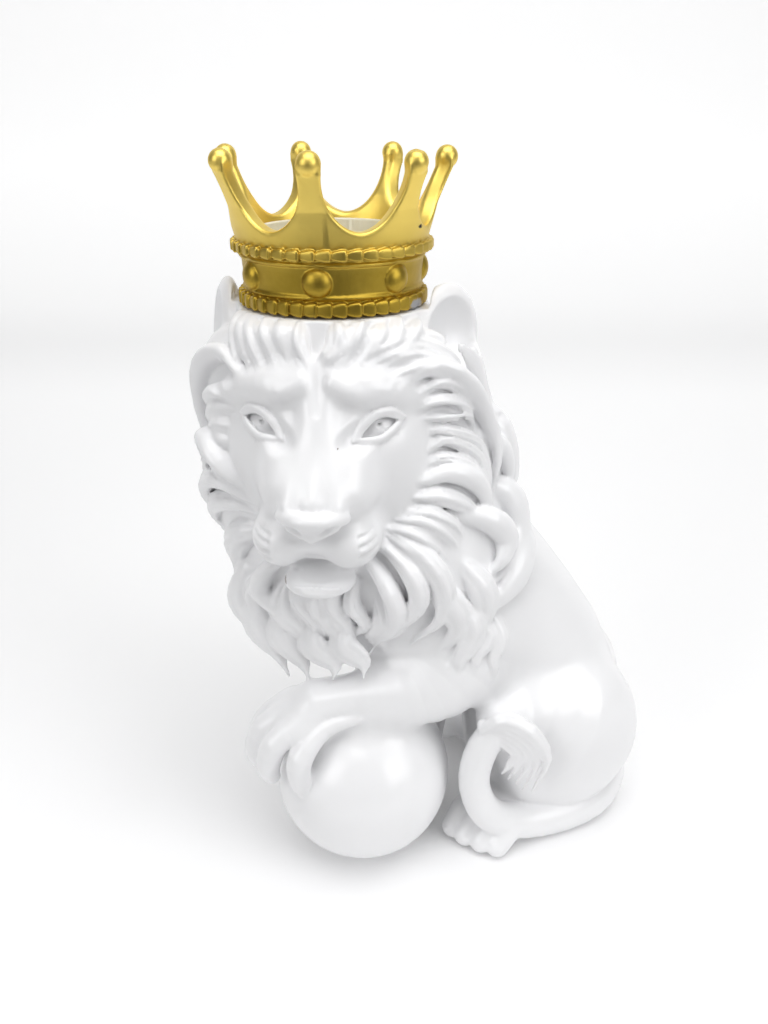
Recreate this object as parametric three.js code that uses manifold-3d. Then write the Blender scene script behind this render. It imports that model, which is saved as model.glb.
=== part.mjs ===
// Seated lion in one white casting, its left forepaw on a ball, with a hollow crown cast separately.
// Millimetres, +Z up. The lion sits along X and turns its face to -Y; the origin is on the floor,
// under the middle of the sculpture's bounding box.
import * as THREE from "three";
import { LoftGeometry } from "three/addons/geometries/LoftGeometry.js";
import { mergeVertices } from "three/addons/utils/BufferGeometryUtils.js";
import Module from "manifold-3d";

const wasm = await Module();
wasm.setup();

// ---------------------------------------------------------------- driving dimensions

// The lion is drawn about the upright axis through its crown, and CROWN_AXIS is where that axis
// stands from the origin. Its feet, tail and ball reach a little under the floor and are cut flat.
const CROWN_AXIS = new THREE.Vector3(-43.5, 9.6, 0);

const BALL = { x: 12, y: -35, z: 44.5, radius: 45 };

const CROWN = {
  turn: THREE.MathUtils.degToRad(-6.5), // the front point looks the way the face does
  points: 7,
  base: 284,
  bandRadius: 40,
  wall: 5.5,
  edges: { low: 287.6, high: 309.8, half: 3.5, reach: 4 }, // the two beaded rims
  notchLow: 318,
  notchTop: 341,
  pointHalfWidth: THREE.MathUtils.degToRad(5.2),
  tipRadius: 52.5,
  knobHeight: 345,
  knobRadius: 5.2,
  stoneRadius: 7,
  stoneHeight: 298.5,
};

const CLEARANCE = 0.3; // between the two castings

const WELL = { floor: 256, rim: 316.5, radius: 31.5, collar: 33.7 };

const HEAD = { turn: THREE.MathUtils.degToRad(-5) }; // about the crown's axis

// ---------------------------------------------------------------- solids from three.js geometry

/** A closed three.js geometry as a solid that can be joined and cut. */
function solidOf(geometry) {
  const bare = new THREE.BufferGeometry().copy(geometry);
  bare.deleteAttribute("normal");
  bare.deleteAttribute("uv");
  const merged = mergeVertices(bare, 1e-4);
  return new wasm.Manifold(
    new wasm.Mesh({
      numProp: 3,
      vertProperties: merged.attributes.position.array,
      triVerts: new Uint32Array(merged.index.array),
    }),
  );
}

/** A solid back as a geometry for a mesh. */
function geometryOf(solid) {
  const mesh = solid.getMesh();
  const positions = new Float32Array(mesh.numVert * 3);
  for (let i = 0; i < mesh.numVert; i++) {
    const start = i * mesh.numProp;
    positions.set(mesh.vertProperties.subarray(start, start + 3), i * 3);
  }
  const geometry = new THREE.BufferGeometry();
  geometry.setAttribute("position", new THREE.BufferAttribute(positions, 3));
  geometry.setIndex(new THREE.BufferAttribute(mesh.triVerts, 1));
  geometry.computeVertexNormals();
  return geometry;
}

const join = (solids) => wasm.Manifold.union(solids);

/** The one body of a casting, with the pockets closed off between its forms filled. */
function filled(solid) {
  return solid.decompose().reduce((main, body) => (body.volume() > main.volume() ? body : main));
}

/** An ellipsoid about a point, its radii along X, Y and Z before it is turned about Z. */
function ellipsoid([x, y, z], [rx, ry, rz], turn = 0, across = 12, down = 6) {
  const geometry = new THREE.SphereGeometry(1, across, down);
  geometry.rotateX(Math.PI / 2).scale(rx, ry, rz).rotateZ(turn).translate(x, y, z);
  return solidOf(geometry);
}

/**
 * A tapered limb through stations [x, y, z, radius]. Its section is `flat` times thinner along the
 * direction that `outward` gives for a point, and its ends are domed unless they are pointed.
 */
function limb(stations, { sides = 8, steps = 6, flat = 1, outward = null, domed = true } = {}) {
  const path = new THREE.CatmullRomCurve3(stations.map(([x, y, z]) => new THREE.Vector3(x, y, z)));
  const girth = new THREE.CatmullRomCurve3(stations.map((s, i) => new THREE.Vector3(s[3], i, 0)));
  const dome = { along: 0.8, size: 0.55 };
  const rings = Array.from({ length: steps + 1 }, (_, i) => [i / steps, 0, 1]);
  if (domed) {
    rings.unshift([0, -dome.along, dome.size]);
    rings.push([1, dome.along, dome.size]);
  }
  let side = new THREE.Vector3(0, 0, 1);
  const sections = rings.map(([t, along, size]) => {
    const centre = path.getPoint(t);
    const ahead = path.getTangent(t);
    const radius = girth.getPoint(t).x;
    const out = outward ? outward(centre) : side.clone();
    out.addScaledVector(ahead, -out.dot(ahead)).normalize();
    side = out.clone();
    const across = new THREE.Vector3().crossVectors(ahead, out).negate();
    centre.addScaledVector(ahead, along * radius * flat);
    return Array.from({ length: sides }, (_, j) => {
      const angle = (j / sides) * 2 * Math.PI;
      return centre
        .clone()
        .addScaledVector(across, radius * size * Math.cos(angle))
        .addScaledVector(out, radius * size * flat * Math.sin(angle));
    });
  });
  return solidOf(new LoftGeometry(sections, { capStart: true, capEnd: true }));
}

/** A point of the head: a to the lion's left, f forward out of the face, u up. */
function onHead(a, f, u) {
  const cos = Math.cos(HEAD.turn);
  const sin = Math.sin(HEAD.turn);
  return [a * cos + f * sin, a * sin - f * cos, u];
}

const headLimb = (stations, options) =>
  limb(stations.map(([a, f, u, r]) => [...onHead(a, f, u), r]), options);

const headEllipsoid = (a, f, u, radii, across = 8, down = 6) =>
  ellipsoid(onHead(a, f, u), radii, HEAD.turn, across, down);

const bothSides = (make) => [make(-1), make(1)];

// ---------------------------------------------------------------- body

function torso() {
  const spine = [
    [112, 4, 42, 44],
    [102, 4, 88, 43],
    [74, 3, 132, 41],
    [46, 0, 168, 42],
    [22, 0, 205, 42],
  ];
  return [limb(spine, { sides: 12, steps: 4 }), ellipsoid([37, -8, 126], [38, 37, 52])];
}

/** Three toes in a fan about the end of a foot, pointing along `heading`. */
function toes([x, y, z], heading, { spread, length, radius }) {
  return [-1, 0, 1].map((step) => {
    const angle = heading + step * 0.28;
    const ahead = [Math.cos(angle), Math.sin(angle)];
    const across = [-Math.sin(heading) * step * spread, Math.cos(heading) * step * spread];
    const at = (share, height, size) => [
      x + across[0] + ahead[0] * length * share,
      y + across[1] + ahead[1] * length * share,
      height,
      radius * size,
    ];
    return limb([at(0, z + 1, 0.95), at(0.7, z, 1.05), at(1.1, z - 4, 0.85)], { sides: 5, steps: 2 });
  });
}

/** A folded hind leg, its thigh, shin and foot. `side` is -1 on the near side and 1 on the far one. */
function hindLeg(side) {
  const y = (offset) => 4 + side * offset;
  const knee = [
    [110, y(28), 72, 28],
    [90, y(42), 84, 18],
    [84, y(46), 78, 14],
  ];
  const shin = [
    [86, y(44), 78, 14],
    [94, y(36), 48, 13],
    [102, y(24), 18, 13],
  ];
  const foot = [
    [104, y(18), 13, 13],
    [86, y(32), 12, 13],
    [76, y(41), 10, 11],
  ];
  const heading = side * THREE.MathUtils.degToRad(135);
  return [
    ellipsoid([122, y(24), 60], [37, 27, 45], side * -0.12),
    limb(knee, { sides: 10, steps: 2 }),
    limb(shin, { steps: 2 }),
    limb(foot, { steps: 2 }),
    ...toes([76, y(40), 10], heading, { spread: 9, length: 13, radius: 7.5 }),
  ];
}

/** The far foreleg, standing behind the ball. */
function farForeleg() {
  const leg = [
    [52, 22, 122, 25],
    [50, 22, 84, 18],
    [46, 16, 46, 14],
    [41, 9, 14, 12.5],
    [34, 5, 10, 11.5],
  ];
  return [limb(leg, { steps: 4 }), ...toes([34, 4, 10], Math.PI, { spread: 8, length: 11, radius: 7 })];
}

/** The near foreleg, laid across the top of the ball with its toes over the far edge. */
function nearForeleg() {
  const leg = [
    [58, -18, 138, 30],
    [64, -32, 112, 24],
    [50, -43, 101, 17],
    [26, -46, 97, 14.5],
    [2, -48, 97, 13],
    [-12, -50, 96, 13.5],
  ];
  const digits = [
    [[-8, -62, 89, 7.5], [-20, -70, 76, 8.5], [-18, -67, 61, 7]],
    [[-16, -57, 92, 7.5], [-34, -61, 79, 9], [-34, -58, 63, 7.5]],
    [[-18, -47, 93, 7.5], [-41, -48, 79, 9], [-40, -46, 63, 7.5]],
    [[-16, -38, 91, 7], [-39, -35, 78, 8], [-38, -34, 64, 7]],
  ];
  const palm = ellipsoid([-21, -50, 90], [15, 21, 12], 0.25, 8, 6);
  return [limb(leg, { steps: 5 }), palm, ...digits.map((digit) => limb(digit, { sides: 5, steps: 2 }))];
}

/** The tail, swept round the near haunch along the floor and up to a curled tuft. */
function tail() {
  const stem = [
    [136, 26, 18, 17],
    [147, 4, 16, 15.5],
    [138, -18, 13, 13],
    [116, -31, 11, 11.5],
    [92, -42, 15, 9.5],
    [76, -50, 29, 8.6],
    [69, -52, 50, 8],
    [72, -52, 70, 8],
    [80, -52, 84, 7.5],
  ];
  const strands = [0, 1, 2].map((i) => {
    const inset = i * 6;
    return limb(
      [
        [76, -52 + i, 91 - inset * 0.6, 4],
        [92, -56 + i, 87 - inset, 5.4],
        [104 - inset, -56 + i, 70 - inset * 0.4, 5.6],
        [98 - inset, -54 + i, 46 + i * 2, 2.4],
      ],
      { sides: 5, steps: 3 },
    );
  });
  return [limb(stem, { sides: 6, steps: 9 }), ...strands];
}

function ball() {
  return [ellipsoid([BALL.x, BALL.y, BALL.z], [BALL.radius, BALL.radius, BALL.radius], 0, 18, 9)];
}

// ---------------------------------------------------------------- head

function skull() {
  return [
    headEllipsoid(0, 14, 234, [47, 40, 47], 12),
    ...bothSides((s) => headEllipsoid(s * 23, 34, 216, [20, 22, 30])),
    headEllipsoid(0, 34, 262, [30, 18, 20]),
    ellipsoid([6, 8, 236], [52, 48, 50]),
  ];
}

function muzzle() {
  const bridge = [
    [0, 44, 262, 11],
    [0, 54, 244, 10],
    [0, 68, 228, 11],
    [0, 76, 218, 12],
  ];
  return [
    headLimb(bridge, { sides: 8, steps: 3 }),
    headEllipsoid(0, 52, 212, [25, 26, 26]),
    ...bothSides((s) => headEllipsoid(s * 12, 66, 200, [15.5, 16, 13.5])),
    headEllipsoid(0, 80, 213, [14, 8.5, 6.5]),
    headEllipsoid(0, 60, 181, [16, 15, 11]),
  ];
}

function browsAndEyes() {
  return bothSides((s) => {
    const brow = [
      [s * 10, 52, 258, 6],
      [s * 24, 50, 256, 7],
      [s * 38, 38, 245, 5],
    ];
    return [headLimb(brow, { sides: 6, steps: 2 }), headEllipsoid(s * 25, 46, 240, [11, 9, 8])];
  }).flat();
}

/** An ear: an upright scoop, open forwards and outwards. */
function ear(side) {
  const shell = headEllipsoid(side * 52, -6, 271, [14.5, 9, 21]);
  const scoop = headEllipsoid(side * 54, 5, 272, [10.5, 9, 16], 7, 5);
  return shell.subtract(scoop);
}

// ---------------------------------------------------------------- mane

const MANE = { centre: new THREE.Vector3(7, -8, 205), radii: new THREE.Vector3(72, 40, 76) };
const fromManeCentre = (point) => point.clone().sub(MANE.centre).normalize();

/** A point `out` over the mane's mass: `roll` round the face from its top, `back` from its front. */
function onMane(roll, back, out) {
  const across = Math.sin(back);
  const direction = new THREE.Vector3(across * Math.sin(roll), -Math.cos(back), across * Math.cos(roll));
  return direction.clone().multiply(MANE.radii).add(MANE.centre).addScaledVector(direction, out);
}

/** One lock of hair, flat to the mass that it lies on and pointed at its tip. */
function lock(points, width) {
  const shares = [0.7, 1.1, 0.9, 0.15];
  const stations = points.map((point, i) => [...point, width * shares[i]]);
  return limb(stations, { sides: 4, steps: 3, flat: 0.6, outward: fromManeCentre, domed: false });
}

/** A row of locks round the face, each combed back and down from the one before it. */
function rowOfLocks({ count, limit, from, length, sweep, width }) {
  const degrees = THREE.MathUtils.degToRad;
  return Array.from({ length: count }, (_, i) => {
    const roll = degrees(-limit + (2 * limit * (i + 0.5)) / count);
    const wave = 1 + 0.1 * Math.sin(i * 2.4);
    const down = Math.sign(roll) * degrees(sweep);
    const points = [-1, 2.5, 2, -3].map((out, j) => {
      const share = j / 3;
      return onMane(roll + down * share ** 1.6, degrees(from + length * share * wave), out);
    });
    return lock(points, width * wave);
  });
}

function mane() {
  const mass = [
    ellipsoid(MANE.centre.toArray(), MANE.radii.toArray(), 0, 14, 8),
    ellipsoid([34, -14, 166], [50, 40, 40]),
    ellipsoid([38, 4, 196], [48, 42, 48]),
  ];
  const rows = [
    { count: 11, limit: 160, from: 38, length: 40, sweep: 20, width: 14 },
    { count: 10, limit: 160, from: 66, length: 42, sweep: 24, width: 17 },
  ];
  const beard = [-24, -9, 6, 21, 35].map((a, i) => {
    const drop = [10, 0, 0, 2, 8][i];
    const hang = [[a * 0.7, 52, 184], [a, 58, 166], [a * 1.05, 53, 146], [a - 5, 44, 124 + drop]];
    return lock(hang.map((at) => onHead(...at)), 14);
  });
  return [...mass, ...rows.map(rowOfLocks).flat(), ...beard];
}

// ---------------------------------------------------------------- crown and its seat

const disc = (radius, from, to, segments = 32) =>
  solidOf(
    new THREE.CylinderGeometry(radius, radius, to - from, segments)
      .rotateX(Math.PI / 2)
      .translate(0, 0, (from + to) / 2),
  );

/** The crown's edge at an angle from a point's middle: level across the point, then a round notch. */
function edgeHeight(angle) {
  const { pointHalfWidth, notchLow, notchTop, points } = CROWN;
  const fromPoint = Math.max(0, Math.abs(angle) - pointHalfWidth);
  const across = 1 - fromPoint / (Math.PI / points - pointHalfWidth);
  return notchTop - (notchTop - notchLow) * Math.sqrt(Math.max(0, 1 - across ** 2.4));
}

function crown() {
  const { points, base, bandRadius, wall, tipRadius, knobHeight, notchTop, pointHalfWidth } = CROWN;
  const { low, high, half, reach } = CROWN.edges;
  const inside = WELL.collar + CLEARANCE;
  const pitch = (2 * Math.PI) / points;
  const notchWidth = pitch - 2 * pointHalfWidth;
  const columns = [0, 0.1, 0.35, 0.65, 0.9, 1].map((share) => pointHalfWidth + share * notchWidth);
  const angles = Array.from({ length: points }, (_, i) => columns.map((angle) => i * pitch + angle)).flat();
  const sections = [...angles, angles[0]].map((angle) => {
    const inPitch = angle - Math.round(angle / pitch) * pitch;
    const edge = edgeHeight(inPitch);
    const flare = (height) =>
      bandRadius + reach + (tipRadius - bandRadius - reach) * ((height - high) / (notchTop - high)) ** 0.8;
    const outline = [
      [Math.max(inside, flare(edge) - wall - 2), edge - 12],
      [flare(edge) - wall, edge],
      [flare(edge), edge],
      [bandRadius + reach, high],
      [bandRadius, high - half],
      [bandRadius, low + half],
      [bandRadius + reach, low],
      [bandRadius, base],
      [inside, base],
    ];
    return outline.map(
      ([radius, height]) => new THREE.Vector3(Math.sin(angle) * radius, -Math.cos(angle) * radius, height),
    );
  });
  const trims = Array.from({ length: points }, (_, i) => {
    const knob = new THREE.SphereGeometry(CROWN.knobRadius, 7, 5)
      .translate(0, -tipRadius + 2.4, knobHeight)
      .rotateZ(i * pitch);
    const stone = new THREE.SphereGeometry(CROWN.stoneRadius, 8, 5)
      .scale(1, 0.6, 1.04)
      .translate(0, -bandRadius, CROWN.stoneHeight)
      .rotateZ(i * pitch);
    return [solidOf(knob), solidOf(stone)];
  }).flat();
  return join([solidOf(new LoftGeometry(sections, {})), ...trims]);
}

/** The head's flat top under the crown, with the collar that the crown is cast to fit round. */
function crownSeat() {
  return [disc(WELL.collar, 250, WELL.rim), disc(CROWN.bandRadius - 1, 262, CROWN.base - CLEARANCE)];
}

function lion() {
  const forms = [
    ...torso(),
    ...bothSides(hindLeg).flat(),
    ...farForeleg(),
    ...nearForeleg(),
    ...tail(),
    ...ball(),
    ...skull(),
    ...muzzle(),
    ...browsAndEyes(),
    ...bothSides(ear),
    ...mane(),
  ];
  const aboveSeat = disc(CROWN.bandRadius + 6, CROWN.base - CLEARANCE, 400);
  const well = disc(WELL.radius, WELL.floor, 400);
  const underFloor = solidOf(new THREE.BoxGeometry(600, 600, 100).translate(0, 0, -50));
  const body = filled(join([join(forms).subtract(aboveSeat), ...crownSeat()]));
  return filled(body.subtract(well).subtract(underFloor));
}

// ---------------------------------------------------------------- the two castings

const lionWhite = new THREE.MeshStandardMaterial({ color: 0xf4f4f5, roughness: 0.22, metalness: 0 });
const crownGold = new THREE.MeshStandardMaterial({ color: 0xc9a63c, roughness: 0.38, metalness: 0.9 });

const sculpture = new THREE.Group();
for (const [name, solid, material, turn] of [
  ["lion", lion(), lionWhite, 0],
  ["crown", crown(), crownGold, CROWN.turn],
]) {
  const mesh = new THREE.Mesh(geometryOf(solid), material);
  mesh.name = name;
  mesh.position.copy(CROWN_AXIS);
  mesh.rotation.z = turn;
  sculpture.add(mesh);
}

export default sculpture;
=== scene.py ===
"""A seated lion in gloss white resin, its left forepaw on a ball, under a satin gold crown.

Each casting starts as a block of clay, a field of distances that forms are fused to and carved
from. The surface where the distance is nil becomes its mesh. Sizes are in millimetres about the
upright axis of the crown, with the floor at nil, and meshes are put in the frame in metres.
"""

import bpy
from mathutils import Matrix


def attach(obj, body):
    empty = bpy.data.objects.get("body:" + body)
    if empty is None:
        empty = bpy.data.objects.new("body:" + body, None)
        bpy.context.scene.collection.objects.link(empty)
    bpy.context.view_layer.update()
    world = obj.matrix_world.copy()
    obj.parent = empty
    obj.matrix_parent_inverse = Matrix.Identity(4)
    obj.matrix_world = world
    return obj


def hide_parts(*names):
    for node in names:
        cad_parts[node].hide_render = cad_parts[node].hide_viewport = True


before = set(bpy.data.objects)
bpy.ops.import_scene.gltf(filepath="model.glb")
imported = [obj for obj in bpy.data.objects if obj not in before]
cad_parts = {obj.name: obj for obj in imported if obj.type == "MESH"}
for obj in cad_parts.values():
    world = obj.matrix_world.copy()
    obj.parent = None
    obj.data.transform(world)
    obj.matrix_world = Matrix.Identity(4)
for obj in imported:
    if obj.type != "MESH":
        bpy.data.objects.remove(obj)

import copy
import logging
import math
from dataclasses import dataclass, field
from enum import Enum
from typing import Iterable, Sequence

import bmesh
import bpy
import numpy as np
import openvdb

log = logging.getLogger("lion")

MM = 0.001
CROWN_AXIS = np.array([-43.5, 9.6, 0.0])  # where the crown's axis stands from the frame's origin
SEED = 7  # for the small differences between one lock and the next
ABOVE = 400.0  # a height over the whole sculpture
BLACK = (0.01, 0.01, 0.01)
GREY = (0.35, 0.35, 0.36)

Vector = Sequence[float]


# ------------------------------------------------------------------------------- sculpting


def soft_min(a: np.ndarray, b: np.ndarray, blend: float) -> np.ndarray:
    """Joins two distance fields with a fillet.

    Args:
        a: One field.
        b: The other field.
        blend: How far the fillet reaches, or 0 for a sharp join.

    Returns:
        The joined field.
    """
    if blend <= 0:
        return np.minimum(a, b)
    near = np.maximum(blend - np.abs(a - b), 0) / blend
    return np.minimum(a, b) - near * near * (blend / 4)


def unit(vectors: np.ndarray) -> np.ndarray:
    """Vectors scaled to length 1.

    Args:
        vectors: An array whose last axis holds x, y and z.

    Returns:
        The scaled vectors.
    """
    return vectors / np.maximum(np.linalg.norm(vectors, axis=-1, keepdims=True), 1e-9)


def smooth_path(points: Sequence[Vector], count: int) -> np.ndarray:
    """Points evenly spaced in parameter on a Catmull-Rom curve.

    Args:
        points: The curve's own points, with any number of values each.
        count: How many points to give back.

    Returns:
        An array of `count` rows.
    """
    own = np.array(points, float)
    padded = np.vstack([2 * own[0] - own[1], own, 2 * own[-1] - own[-2]])
    place = np.linspace(0, len(own) - 1, count)
    index = np.minimum(place.astype(int), len(own) - 2)
    t = (place - index)[:, None]
    a, b, c, d = (padded[index + i] for i in range(4))
    return 0.5 * (2 * b + (c - a) * t + (2 * a - 5 * b + 4 * c - d) * t**2 + (3 * b - a - 3 * c + d) * t**3)


def turned(degrees: Vector) -> np.ndarray:
    """A rotation about X, then Y, then Z.

    Args:
        degrees: The three angles.

    Returns:
        A 3 by 3 matrix.
    """
    x, y, z = np.radians(degrees)
    about_x = np.array([[1, 0, 0], [0, math.cos(x), -math.sin(x)], [0, math.sin(x), math.cos(x)]])
    about_y = np.array([[math.cos(y), 0, math.sin(y)], [0, 1, 0], [-math.sin(y), 0, math.cos(y)]])
    about_z = np.array([[math.cos(z), -math.sin(z), 0], [math.sin(z), math.cos(z), 0], [0, 0, 1]])
    return about_z @ about_y @ about_x


def keep_largest(mesh: bpy.types.Mesh) -> None:
    """Leaves only the largest connected piece of a mesh, so that no crumb or bubble stays.

    Args:
        mesh: The mesh, changed in place.
    """
    links = np.empty(2 * len(mesh.edges), np.int32)
    mesh.edges.foreach_get("vertices", links)
    first, second = links[0::2], links[1::2]
    label = np.arange(len(mesh.vertices))
    while True:
        lower = np.minimum(label[first], label[second])
        spread = label.copy()
        np.minimum.at(spread, first, lower)
        np.minimum.at(spread, second, lower)
        spread = spread[spread]
        if np.array_equal(spread, label):
            break
        label = spread
    crumbs = np.flatnonzero(label != np.bincount(label).argmax())
    shell = bmesh.new()
    shell.from_mesh(mesh)
    shell.verts.ensure_lookup_table()
    bmesh.ops.delete(shell, geom=[shell.verts[i] for i in crumbs], context="VERTS")
    shell.to_mesh(mesh)
    shell.free()
    log.info("%d points of crumbs dropped", len(crumbs))


class Form:
    """A shape that knows the box it lies in and the distance of any place from its surface."""

    def reach(self) -> tuple[np.ndarray, np.ndarray]:
        """The lowest and highest corners of the shape."""
        raise NotImplementedError

    def distance(self, x: np.ndarray, y: np.ndarray, z: np.ndarray) -> np.ndarray:
        """The distance from the surface, negative inside.

        Args:
            x: X of the places, shaped to broadcast with the others.
            y: Y of the places.
            z: Z of the places.

        Returns:
            One distance for each place.
        """
        raise NotImplementedError


@dataclass
class Egg(Form):
    """An ellipsoid.

    Args:
        centre: Its middle.
        radii: Its three radii before it is turned.
        turn: Its rotation in degrees about X, then Y, then Z.
    """

    centre: Vector
    radii: Vector
    turn: Vector = (0, 0, 0)

    def reach(self) -> tuple[np.ndarray, np.ndarray]:
        """The lowest and highest corners of the shape."""
        half = np.sqrt(((turned(self.turn) * np.array(self.radii)) ** 2).sum(1))
        return np.array(self.centre) - half, np.array(self.centre) + half

    def distance(self, x: np.ndarray, y: np.ndarray, z: np.ndarray) -> np.ndarray:
        """The distance from the surface, negative inside.

        Args:
            x: X of the places, shaped to broadcast with the others.
            y: Y of the places.
            z: Z of the places.

        Returns:
            One distance for each place.
        """
        dx, dy, dz = x - self.centre[0], y - self.centre[1], z - self.centre[2]
        axes = turned(self.turn).T
        local = [row[0] * dx + row[1] * dy + row[2] * dz for row in axes]
        scaled = sum((p / r) ** 2 for p, r in zip(local, self.radii))
        steep = sum((p / r**2) ** 2 for p, r in zip(local, self.radii))
        size = np.sqrt(scaled)
        return size * (size - 1) / np.maximum(np.sqrt(steep), 1e-6)


@dataclass
class Limb(Form):
    """A round, tapered tube through stations.

    Args:
        stations: x, y, z and radius of each.
        fineness: How many straight stretches the curve is cut into.
    """

    stations: Sequence[Vector]
    fineness: int = 8

    def __post_init__(self) -> None:
        """Draws its curve."""
        self.line = smooth_path(self.stations, self.fineness + 1)

    def reach(self) -> tuple[np.ndarray, np.ndarray]:
        """The lowest and highest corners of the shape."""
        radii = self.line[:, 3:4]
        return (self.line[:, :3] - radii).min(0), (self.line[:, :3] + radii).max(0)

    def distance(self, x: np.ndarray, y: np.ndarray, z: np.ndarray) -> np.ndarray:
        """The distance from the surface, negative inside.

        Args:
            x: X of the places, shaped to broadcast with the others.
            y: Y of the places.
            z: Z of the places.

        Returns:
            One distance for each place.
        """
        nearest = None
        for a, b in zip(self.line[:-1], self.line[1:]):
            step = b[:3] - a[:3]
            dx, dy, dz = x - a[0], y - a[1], z - a[2]
            share = np.clip((dx * step[0] + dy * step[1] + dz * step[2]) / max(step @ step, 1e-9), 0, 1)
            away = [d - share * s for d, s in zip((dx, dy, dz), step)]
            gap = np.sqrt(away[0] ** 2 + away[1] ** 2 + away[2] ** 2)
            gap = gap - (a[3] + share * (b[3] - a[3]))
            nearest = gap if nearest is None else np.minimum(nearest, gap)
        return nearest


@dataclass
class Lock(Form):
    """A flat lock of hair: a tapered ribbon with a domed face combed into strands.

    Args:
        line: Centre points along it.
        normals: Which way its face looks at each of them.
        width: Its half width at its widest.
        depth: Its half thickness.
        strands: How many strands it is combed into.
        groove: How deep the combing is.
        blunt: Share of the full width left at the tip.
    """

    line: np.ndarray
    normals: np.ndarray
    width: float
    depth: float
    strands: float = 3
    groove: float = 0.9
    blunt: float = 0.08

    def __post_init__(self) -> None:
        """Works out the ribbon's size and direction along its line."""
        place = np.linspace(0, 1, len(self.line))
        swell = (0.5 + 0.5 * np.sin(np.pi * np.minimum(place / 0.9, 1))) * (1 - place**3) ** 0.8
        rise = (0.35 + 0.65 * np.sin(np.pi * np.minimum(place + 0.12, 1) ** 0.8)) * (1 - 0.5 * place**2)
        self.widths = self.width * np.maximum(swell, self.blunt)
        self.depths = self.depth * np.maximum(rise, 0.3)
        ahead = unit(np.gradient(self.line, axis=0))
        self.sides = unit(np.cross(ahead, self.normals))
        self.faces = unit(np.cross(self.sides, ahead))

    def reach(self) -> tuple[np.ndarray, np.ndarray]:
        """The lowest and highest corners of the shape."""
        half = np.maximum(self.widths, self.depths)[:, None]
        return (self.line - half).min(0), (self.line + half).max(0)

    def stretch(self, i: int, x: np.ndarray, y: np.ndarray, z: np.ndarray) -> np.ndarray:
        """The distance from one straight stretch of the lock.

        Args:
            i: Which stretch.
            x: X of the places.
            y: Y of the places.
            z: Z of the places.

        Returns:
            One distance for each place.
        """
        start, step = self.line[i], self.line[i + 1] - self.line[i]
        dx, dy, dz = x - start[0], y - start[1], z - start[2]
        share = np.clip((dx * step[0] + dy * step[1] + dz * step[2]) / max(step @ step, 1e-9), 0, 1)
        dx, dy, dz = dx - share * step[0], dy - share * step[1], dz - share * step[2]
        across, above = (
            (dx * v[i][0] + dy * v[i][1] + dz * v[i][2]) * (1 - share)
            + (dx * v[i + 1][0] + dy * v[i + 1][1] + dz * v[i + 1][2]) * share
            for v in (self.sides, self.faces)
        )
        beyond = np.maximum(dx * dx + dy * dy + dz * dz - across**2 - above**2, 0)
        wide = self.widths[i] + share * (self.widths[i + 1] - self.widths[i])
        deep = self.depths[i] + share * (self.depths[i + 1] - self.depths[i])
        u = across / wide
        size = np.sqrt(u**2 + above**2 / deep**2 + beyond / deep**2)
        steep = np.sqrt(across**2 / wide**4 + above**2 / deep**4 + beyond / deep**4)
        combed = self.groove * np.minimum(wide / self.width + 0.15, 1) * (self.strands > 1)
        gap = size * (size - 1) / np.maximum(steep, 1e-6)
        return gap + combed * (1 - np.abs(np.cos(0.5 * np.pi * self.strands * (u + 1))) ** 0.8)

    def distance(self, x: np.ndarray, y: np.ndarray, z: np.ndarray) -> np.ndarray:
        """The distance from the surface, negative inside.

        Args:
            x: X of the places, shaped to broadcast with the others.
            y: Y of the places.
            z: Z of the places.

        Returns:
            One distance for each place.
        """
        shape = np.broadcast_shapes(x.shape, y.shape, z.shape)
        nearest = np.full(shape, 99.0, np.float32)
        axes = [v.ravel() for v in (x, y, z)]
        for i in range(len(self.line) - 1):
            half = max(self.widths[i], self.widths[i + 1], self.depths[i], self.depths[i + 1]) + 3
            ends = self.line[i : i + 2]
            part = tuple(
                slice(*np.searchsorted(axis, (low, high)))
                for axis, low, high in zip(axes, ends.min(0) - half, ends.max(0) + half)
            )
            if all(s.stop > s.start for s in part):
                gap = self.stretch(i, x[part[0], :, :], y[:, part[1], :], z[:, :, part[2]])
                nearest[part] = np.minimum(nearest[part], gap)
        return nearest


@dataclass
class Disc(Form):
    """An upright cylinder about the crown's axis.

    Args:
        radius: Its radius.
        low: Height of its lower face.
        high: Height of its upper face.
    """

    radius: float
    low: float
    high: float

    def reach(self) -> tuple[np.ndarray, np.ndarray]:
        """The lowest and highest corners of the shape."""
        wide = self.radius
        return np.array([-wide, -wide, self.low]), np.array([wide, wide, self.high])

    def distance(self, x: np.ndarray, y: np.ndarray, z: np.ndarray) -> np.ndarray:
        """The distance from the surface, negative inside.

        Args:
            x: X of the places, shaped to broadcast with the others.
            y: Y of the places.
            z: Z of the places.

        Returns:
            One distance for each place.
        """
        out = np.hypot(x, y) - self.radius
        up = np.abs(z - (self.low + self.high) / 2) - (self.high - self.low) / 2
        return np.maximum(out, up)


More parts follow.
